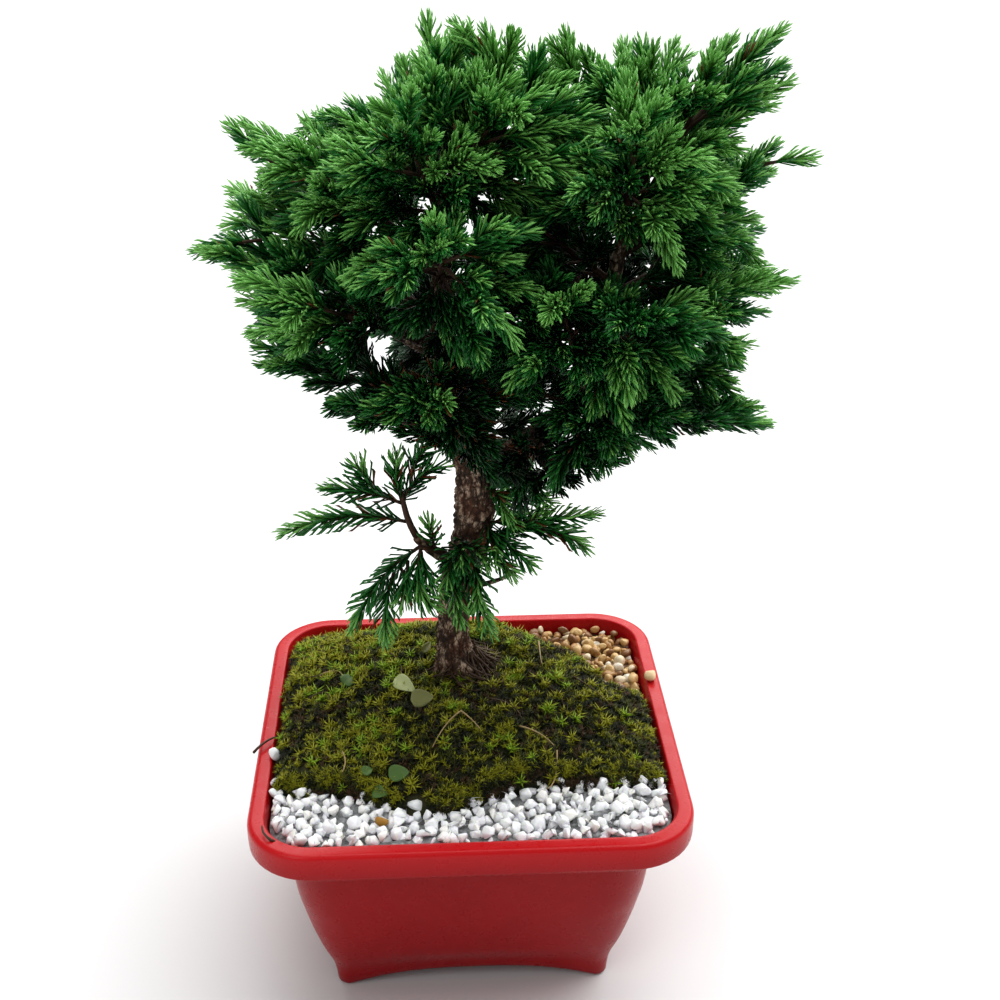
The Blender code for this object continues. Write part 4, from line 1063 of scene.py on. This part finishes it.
# The crown's outline, read off the photo: across and up, on the plane through the pot's middle.
crownOutline = (
    (-9.4, 330.0), (-13.6, 326.7), (-11.5, 318.2), (-21.0, 316.2), (-25.1, 308.2), (-34.2, 305.0), (-48.7, 302.2),
    (-50.8, 296.9), (-64.3, 300.3), (-69.2, 295.3), (-71.2, 278.1), (-83.6, 258.4), (-73.2, 245.3), (-70.5, 239.3),
    (-71.9, 221.8), (-53.2, 216.9), (-49.6, 206.3), (-39.2, 198.2), (-33.7, 195.2), (-7.9, 189.9), (-2.0, 181.7),
    (12.2, 169.3), (22.5, 163.3), (28.6, 168.9), (47.0, 176.4), (56.3, 183.3), (70.3, 188.2), (76.1, 193.6),
    (108.6, 191.4), (99.1, 203.6), (97.5, 224.1), (81.0, 233.3), (102.3, 230.2), (111.4, 245.0), (91.1, 255.8),
    (97.6, 262.6), (86.4, 276.4), (92.4, 276.3), (109.7, 283.3), (100.4, 303.2), (98.5, 324.8), (94.0, 328.2),
    (68.5, 321.6), (54.4, 321.7), (43.7, 321.7), (41.5, 316.0), (36.5, 324.1), (21.1, 324.5), (9.3, 326.5),
    (1.6, 328.8))
# Crown shoots given one by one, foot and tip.
crownShoots = (
    ((39.4, 12, 294.7), (32.5, 8, 320.6)), ((14.0, 5, 302.4), (8.1, 1, 323.0)),
    ((83.0, 10, 294.7), (100.3, 6, 306.8)), ((95.2, 10, 280.5), (109.3, 6, 283.5)),
    ((-57.6, 12, 281.8), (-69.2, 8, 294.3)), ((-62.9, 8, 259.0), (-82.1, 4, 257.2)),
    ((43.4, 10, 194.0), (33.1, 6, 180.4)), ((31.1, -10, 209.8), (18.5, -14, 216.5)),
    ((55.6, 5, 296.0), (42.5, 1, 305.9)), ((-10.8, -12, 213.2), (0.1, -16, 202.5)),
    ((19.0, 0, 180.5), (18.8, -4, 169.2)), ((2.1, -5, 197.7), (11.8, -9, 181.1)))
# Shoots of the lower masses: foot, bend and tip.
lowShoots = (
    ((-21.4, 7.5, 165.2), (-33.2, 5.0, 172.4), (-46.7, 3.0, 173.6)),
    ((-19.8, 7.5, 158.0), (-38.7, 5.0, 165.9), (-61.7, 0.0, 159.0)),
    ((-21.4, 7.0, 166.2), (-24.2, 5.0, 175.4), (-22.5, 6.0, 183.9)),
    ((-29.8, 6.0, 169.5), (-33.1, 5.0, 175.6), (-36.4, 4.0, 181.9)),
    ((-21.4, 7.5, 165.2), (-16.7, 5.0, 179.3), (-7.5, 4.0, 180.4)),
    ((-18.3, 6.0, 176.5), (-15.1, 5.0, 185.0), (-10.6, 4.0, 189.3)),
    ((-15.9, 2.0, 150.8), (-30.4, -1.0, 144.3), (-39.7, -6.0, 124.0)),
    ((-24.6, 0.0, 142.9), (-29.4, -1.0, 130.4), (-28.1, -8.0, 119.5)),
    ((-22.8, 0.5, 144.4), (-19.4, -1.0, 135.3), (-11.1, -7.0, 132.0)),
    ((-15.2, 2.0, 149.1), (-15.4, -1.0, 142.2), (-9.1, -3.0, 136.2)),
    ((-10.5, 6.5, 148.1), (-11.4, 2.0, 154.0), (-12.0, 0.0, 161.0)),
    ((-19.9, 1.5, 146.0), (-20.1, -1.0, 137.1), (-22.5, -4.0, 131.9)),
    ((-15.3, 2.0, 150.0), (-17.6, -1.0, 143.9), (-15.6, -6.0, 136.3)),
    ((-0.7, 8.0, 150.7), (-0.9, 2.0, 152.1), (-1.5, -6.0, 147.9)),
    ((-0.8, 8.0, 144.6), (2.0, 2.0, 133.0), (8.9, -5.0, 120.1)),
    ((-2.9, 9.0, 143.0), (-4.9, 2.0, 134.1), (-2.2, -8.0, 126.7)),
    ((0.7, 8.0, 143.7), (5.9, 2.0, 141.6), (4.0, -5.0, 131.7)),
    ((-0.5, 8.0, 148.0), (-5.0, 2.0, 148.0), (-6.5, -5.0, 141.0)),
    ((0.5, 8.0, 148.0), (5.0, 3.0, 150.0), (7.5, -3.0, 146.0)),
    ((8.6, 12.0, 147.5), (20.7, 9.0, 156.5), (45.2, 7.0, 159.4)),
    ((20.2, 10.0, 153.5), (33.7, 8.0, 155.3), (42.2, 4.0, 147.8)),
    ((8.4, 10.0, 153.5), (15.9, 4.0, 148.9), (23.3, 1.0, 143.4)),
    ((8.6, 12.0, 154.4), (13.1, 9.0, 156.7), (19.9, 8.0, 158.7)),
    ((8.9, 12.0, 162.9), (17.6, 9.0, 170.0), (29.7, 9.0, 163.9)),
    ((9.9, 11.0, 162.0), (13.8, 9.0, 161.7), (17.3, 4.0, 157.4)),
    ((7.6, 10.0, 147.3), (11.3, 4.0, 144.7), (16.5, 2.0, 139.6)),
    ((16.3, 10.0, 152.0), (23.8, 9.0, 156.7), (27.9, 4.0, 162.2)),
    ((8.0, 10.0, 156.3), (9.8, 4.0, 152.5), (11.1, 0.0, 149.5)),
    ((9.0, 12.0, 166.0), (15.0, 9.0, 176.0), (22.0, 6.0, 172.0)),
    ((8.0, 11.0, 168.0), (12.0, 5.0, 172.0), (14.5, 1.0, 163.0)))
lowStems = (
    ((-2.0, 12.0, 140.0), (-9.0, 7.0, 147.0), (-15.9, 2.0, 150.8)),
    ((-16.9, 6.9, 152.7), (-20.5, 6.6, 159.5), (-21.5, 7.0, 170.0)),
    ((3.0, 14.0, 145.5), (6.0, 13.0, 147.0), (10.0, 12.0, 148.2)),
    ((4.0, 13.0, 163.0), (7.0, 12.0, 164.0), (9.9, 11.5, 164.0)))


def segmentTable(lines):
    starts = np.array([line[0] for line in lines])
    spans = np.array([line[1] for line in lines]) - starts
    return starts, spans, np.array([line[2] for line in lines])


def distancesTo(points, table):
    starts, spans, _ = table
    offset = points[:, None, :] - starts[None]
    share = np.clip((offset * spans[None]).sum(2) / np.maximum((spans ** 2).sum(1), 1e-18)[None], 0, 1)
    return np.linalg.norm(offset - spans[None] * share[:, :, None], axis=2)


def segmentsOf(points, radius):
    return [(tuple(points[i]), tuple(points[i + 1]), radius) for i in range(len(points) - 1)]


def newMasses():
    masses = []
    for row in crownRows:
        curve = crownCurve(row, limbLines)
        reach = row[5]
        end = max(0.5, 1.0 - foliage["sprayLength"] / reach)
        stem = [onCurve(curve, row[6] + (end - row[6]) * i / 7) for i in range(8)]
        masses.append({"name": row[0], "stem": stem, "tip": curve[2], "sprays": []})
    return masses


def inOutline(point):
    # Seen from the camera, does the point lie inside the crown's outline?
    eye = Vector(foliage["eye"])
    sight = point / mm - eye
    share = -eye.y / sight.y
    across, high = eye.x + sight.x * share, eye.z + sight.z * share
    inside = False
    for (ax, az), (bx, bz) in zip(crownOutline, crownOutline[1:] + crownOutline[:1]):
        if (az > high) != (bz > high) and across < ax + (bx - ax) * (high - az) / (bz - az):
            inside = not inside
    return inside


def tipInside(base, tip):
    return inOutline(tip + (tip - base).normalized() * 3.0 * mm) and tip.z < foliage["top"] * mm


def growSprays(masses, pick):
    # Every spray starts on its mass's stem, keeps to that mass's space and stands apart from the rest.
    own = {}
    for mass in masses:
        own[mass["name"]] = segmentsOf(mass["stem"], 0) + [(tuple(mass["stem"][-1]), tuple(mass["tip"]), 0)]
    tables = {name: segmentTable(lines) for name, lines in own.items()}
    others = {name: segmentTable([l for other in own if other != name for l in own[other]]) for name in own}
    wood = segmentTable([s for line in limbLines.values() for s in segmentsOf(line[0][::6], float(np.mean(line[1])))])

    def fits(mass, base, tip):
        points = np.array([base.lerp(tip, s) for s in (0.35, 0.5, 0.65, 0.8, 0.92, 1.0)])
        if points[:, 2].min() < foliage["ground"] * mm or not tipInside(base, tip):
            return False
        if (distancesTo(points, wood) < wood[2][None] + foliage["limbClear"] * mm).any():
            return False
        near = distancesTo(points, tables[mass["name"]]).min(1)
        if (near + foliage["ownSpace"] * mm > distancesTo(points, others[mass["name"]]).min(1)).any():
            return False
        if mass["sprays"]:
            taken = segmentTable([(tuple(a.lerp(b, 0.4)), tuple(b), 0) for a, b in mass["sprays"]])
            if distancesTo(points[1:], taken).min() < foliage["apart"] * mm:
                return False
        return True

    for mass in masses:
        base, tip = mass["stem"][-1], mass["tip"]
        shares = [share for share in (1.0, 0.9, 0.8, 0.7, 0.6) if tipInside(base, base.lerp(tip, share))]
        if shares:
            mass["sprays"].append((base, base.lerp(tip, shares[0])))
    for turn in range(foliage["rounds"]):
        for mass in masses:
            for _ in range(foliage["tries"]):
                share = pick.uniform(foliage["bare"], 1.0)
                base = onPath(mass["stem"], share)
                ahead, behind = (onPath(mass["stem"], place) for place in (min(1, share + 0.1), max(0, share - 0.1)))
                direction = (ahead - behind).normalized()
                lean = math.radians(pick.uniform(*foliage["lean"]))
                side, rise = frameAlong(direction)
                around = pick.uniform(0, 2 * math.pi)
                out = side * math.cos(around) + rise * math.sin(around)
                length = foliage["sprayLength"] * mm * pick.uniform(0.68, 1.0)
                length *= 1.0 if turn < foliage["longRounds"] else 0.8
                tip = base + (direction * math.cos(lean) + out * math.sin(lean)) * length
                if tip.z > base.z and tip.y < foliage["flatFront"] * mm and base.z < foliage["flatBelow"] * mm:
                    tip.z = base.z + (tip.z - base.z) * foliage["flatten"]
                if fits(mass, base, tip):
                    mass["sprays"].append((base, tip))
                    break


def onPath(points, share):
    place = share * (len(points) - 1)
    index = min(int(place), len(points) - 2)
    return points[index].lerp(points[index + 1], place - index)


def bowed(base, tip, pick, bow):
    # A shoot's own slightly arched line, 5 points.
    middle = base.lerp(tip, 0.55) + up * (tip - base).length * pick.uniform(0.3, 1.6) * bow
    middle += Vector((pick.uniform(-1, 1), pick.uniform(-1, 1), 0)) * (tip - base).length * 0.05
    return curvePoints(base, middle, tip, 5)


def sprayShoots(base, tip, pick):
    # The spray's leading shoot and the side shoots that it carries: their lines and bare shares.
    length = (tip - base).length
    lead = bowed(base, tip, pick, foliage["bow"])
    shoots = [(lead, 0.24)]
    around = pick.uniform(0, 6.3)
    for share in foliage["sideShoots"]:
        if length * (1 - share) < 6 * mm:
            continue
        start = onPath(lead, share + pick.uniform(-0.05, 0.05))
        direction = (tip - base).normalized()
        side, rise = frameAlong(direction)
        around += goldenTurn + pick.uniform(-0.5, 0.5)
        out = side * math.cos(around) + rise * math.sin(around) * 0.75
        lean = math.radians(pick.uniform(*foliage["sideLean"]))
        reach = min(pick.uniform(*foliage["sideLength"]) * mm, length * (1.12 - share) * 1.1)
        end = start + (direction * math.cos(lean) + out * math.sin(lean)) * reach
        if tipInside(start, end) and end.z > foliage["ground"] * mm:
            shoots.append((bowed(start, end, pick, foliage["bow"] * 1.5), 0.14))
    return shoots


def needleShape(out, curl):
    # A soft needle: leaves the shoot leaning out and bends forward along it. X is out, Z is along.
    bm = bmesh.new()
    bmesh.ops.create_cone(bm, cap_ends=True, segments=3, radius1=0.8, radius2=1.0, depth=0.78)
    bmesh.ops.translate(bm, verts=bm.verts, vec=(0, 0, 0.39))
    top = max(bm.faces, key=lambda face: face.calc_center_median().z)
    point = bmesh.ops.poke(bm, faces=[top])["verts"][0]
    point.co = (0, 0, 1.0)
    points, faces = shapeArrays(bm)
    length = points[:, 2].copy()
    width = foliage["needleWidth"]
    bent = np.empty_like(points)
    bent[:, 0] = out * (1 - (1 - length) ** (1.0 + curl)) + points[:, 0] * width / foliage["needleLength"][1]
    bent[:, 1] = points[:, 1] * width
    bent[:, 2] = length * (1.0 - 0.35 * out)
    return bent, faces


def unit(rows):
    return rows / np.linalg.norm(rows, axis=1, keepdims=True)


def needleCopies(path, bareShare, pick, density, opening):
    # Origins, axes, place along the shoot and facing up or down of each needle.
    path = np.array(path)
    pieces = np.linalg.norm(np.diff(path, axis=0), axis=1)
    run = np.concatenate([[0], np.cumsum(pieces)])
    length = run[-1]
    count = max(6, int(length / mm * (1 - bareShare) * foliage["needlesPerMm"] * density))
    shares = bareShare + (1 - bareShare) * (np.arange(count) + pick.random(count) * 0.8) / count
    shares = np.clip(shares, 0, 1) ** 0.93

    def along(distance):
        return np.stack([np.interp(distance, run, path[:, k]) for k in range(3)], axis=1)

    origins = along(shares * length)
    ahead = unit(along(shares * length + 1.5 * mm) - along(shares * length - 1.5 * mm))
    lead = np.where(np.abs(ahead[:, 2:3]) > 0.9, [[1.0, 0, 0]], [[0, 0, 1.0]])
    side = unit(np.cross(ahead, lead))
    rise = np.cross(side, ahead)
    turn = np.arange(count) * goldenTurn + pick.random(count) * 0.5
    out = side * np.cos(turn)[:, None] + rise * np.sin(turn)[:, None]
    tipward = np.clip((shares - 0.62) / 0.38, 0, 1)
    size = pick.uniform(*foliage["needleLength"], count) * (1.0 - 0.32 * tipward ** 1.5)
    size *= 0.8 + 0.2 * np.clip((shares - bareShare) * 6, 0, 1)
    high = out[:, 2]
    spread = size * opening * (1.0 - 0.60 * tipward ** 1.3) * pick.uniform(0.8, 1.2, count)
    lean = ahead + out * (pick.random(count)[:, None] * 0.2 - 0.04)
    lean = unit(lean + np.cross(ahead, out) * (pick.random(count)[:, None] - 0.5) * 0.4)
    across = unit(np.cross(lean, out))
    axes = np.stack([out * spread[:, None], across * (1.0 - 0.2 * tipward)[:, None], lean * size[:, None]],
                    axis=2) * mm
    return origins, axes, shares, high


def crownLight(tip, pick):
    # Painted light: how bright a spray's needles are painted, more towards the crown's outside and top.
    heart = Vector(foliage["heart"]) * mm
    outer = min(1.0, (tip - heart).length / (foliage["glowReach"] * mm))
    high = smoothStep((tip.z / mm - foliage["glowFrom"]) / foliage["glowRun"])
    return 0.62 * outer + 0.26 * high + pick.uniform(-0.2, 0.2)


def allShoots(masses, pick):
    # Every shoot: line, bare share, density, opening, painted light, share of dry needles, and whether it is woody.
    shoots = []
    dryPlace = Vector(foliage["dryPlace"]) * mm
    sprays = [spray for mass in masses for spray in mass["sprays"]]
    sprays += [(spot(*foot), spot(*tip)) for foot, tip in crownShoots]
    for base, tip in sprays:
        light = crownLight(tip, pick)
        near = (tip - dryPlace).length < foliage["dryReach"] * mm and light < foliage["dryLight"]
        dry = foliage["dryShares"][0 if near else 1]
        for number, (path, bare) in enumerate(sprayShoots(base, tip, pick)):
            shoots.append((path, bare, 1.0, 1.0, light + pick.uniform(-0.1, 0.1), dry, number == 0))
    for foot, bend, tip in lowShoots:
        path = curvePoints(spot(*foot), spot(*bend), spot(*tip), 6)
        shoots.append((path, 0.03, 0.85, 1.35, 0.66 + pick.uniform(-0.1, 0.14), 0.10, True))
    return shoots


def makeFoliage():
    pick = random.Random(foliage["seed"])
    arrayPick = np.random.default_rng(foliage["seed"])
    masses = newMasses()
    growSprays(masses, pick)
    shapes = [needleShape(out, curl) for out, curl in foliage["needleBends"]]
    tones = {name: [[] for _ in shapes] for name in foliage["tones"]}
    wood = [([onPath(mass["stem"], i / 4) for i in range(5)], 1.5, 0.9) for mass in masses]
    wood += [(curvePoints(*[spot(*p) for p in row], 5), 1.4, 0.9) for row in lowStems]
    greens = []
    shoots = allShoots(masses, pick)
    print("    shoots", len(shoots))
    for path, bare, density, opening, light, dry, woody in shoots:
        line = [onPath(path, i / 4) for i in range(5)]
        (wood if woody else greens).append((line, 0.7 if woody else 0.45, 0.25))
        origins, axes, shares, high = needleCopies(path, bare, arrayPick, density, opening)
        # Painted light and shade: a needle's tone level starts from its shoot's painted light, rises towards the
        # shoot's tip (partly fresh growth, partly painted light), rises where the needle faces up and falls where it
        # faces down.
        level = light + 0.42 * (shares - 0.6) + 0.14 * high + arrayPick.uniform(-0.06, 0.06, len(shares))
        kind = arrayPick.integers(0, len(shapes), len(shares))
        old = (arrayPick.random(len(shares)) < dry) & (shares < 0.6)
        for name in tones:
            low, high = foliage["levels"].get(name, (-9, 9))
            right = old if name == "needlesOld" else (level >= low) & (level < high) & ~old
            for index in range(len(shapes)):
                chosen = right & (kind == index)
                tones[name][index].append((origins[chosen], axes[chosen]))
    for name, colour in foliage["tones"].items():
        parts = []
        for index, shape in enumerate(shapes):
            origins = np.concatenate([row[0] for row in tones[name][index]])
            axes = np.concatenate([row[1] for row in tones[name][index]])
            parts += [copiesOf(shape, origins[i:i + 4000], axes[i:i + 4000]) for i in range(0, len(origins), 4000)]
        finishCopies(name, parts, plainFinish(name, colour, 0.30, specular=0.35), "needles")
    names = ["foliage_" + name for name in (*[row[0] for row in crownRows], *lowerNames)]
    for title, lines, sides, finish in (("twigs", wood, 5, plainFinish("twigBark", limbs["twig"], 0.8)),
                                        ("greenTwigs", greens, 4, plainFinish("greenTwig", limbs["shoot"], 0.6))):
        radii = [tapered(thick, thin, 5) for _, thick, thin in lines]
        tubes = tubeArrays(np.array([line for line, _, _ in lines], dtype=float), np.array(radii), sides)
        finishCopies(title, [tubes], finish, *(("bark", names) if title == "twigs" else ("needles",)))


makeFoliage()
print("foliage made")


# Floor, lights and camera
studio = {
    "floor": (0.66, 0.66, 0.66), "cameraPlace": (-0.02497, -0.45716, 0.38891), "cameraAim": (0.0454, 0.8969, -0.4399),
    "lens": 52.632, "world": 0.36, "sun": 4.3, "sunFrom": (0.28, 0.42, 0.86), "sunAngle": 85,
    "fill": 1.6, "fillPlace": (-0.50, -0.60, 0.70), "fillAim": (0, 0, 0.2), "fillSize": 0.6,
    "sensor": 36.0, "clipStart": 0.01, "floorSize": 40.0, "floorLevel": -0.0003,
}


def addAimed(name, data, place, direction):
    holder = addObject(name, data)
    holder.location = place
    holder.rotation_euler = direction.to_track_quat("-Z", "Y").to_euler()
    return holder


def makeStudio():
    bm = bmesh.new()
    bmesh.ops.create_grid(bm, x_segments=1, y_segments=1, size=studio["floorSize"])
    floor = addObject("floor", bakeShape("floor", bm))
    floor.location = (0, 0, studio["floorLevel"])
    floor.data.materials.append(plainFinish("paleFloor", studio["floor"], 0.9, specular=0.0))
    scene = bpy.context.scene
    scene.world = bpy.data.worlds.new("studioWorld")
    scene.world.use_nodes = True
    sky = scene.world.node_tree.nodes["Background"].inputs
    sky["Color"].default_value = (1, 1, 1, 1)
    sky["Strength"].default_value = studio["world"]
    sun = bpy.data.lights.new("softSun", "SUN")
    sun.energy, sun.angle = studio["sun"], math.radians(studio["sunAngle"])
    addAimed("softSun", sun, studio["sunFrom"], -Vector(studio["sunFrom"]))
    lamp = bpy.data.lights.new("fillLamp", "AREA")
    lamp.shape, lamp.size, lamp.energy = "DISK", studio["fillSize"], studio["fill"]
    addAimed("fillLamp", lamp, studio["fillPlace"], Vector(studio["fillAim"]) - Vector(studio["fillPlace"]))
    camera = bpy.data.cameras.new("photoCamera")
    camera.lens, camera.sensor_width, camera.clip_start = studio["lens"], studio["sensor"], studio["clipStart"]
    scene.camera = addAimed("photoCamera", camera, studio["cameraPlace"], Vector(studio["cameraAim"]))
    scene.view_settings.view_transform = "Standard"
    scene.view_settings.look = "Medium High Contrast"


makeStudio()
print("scene made")
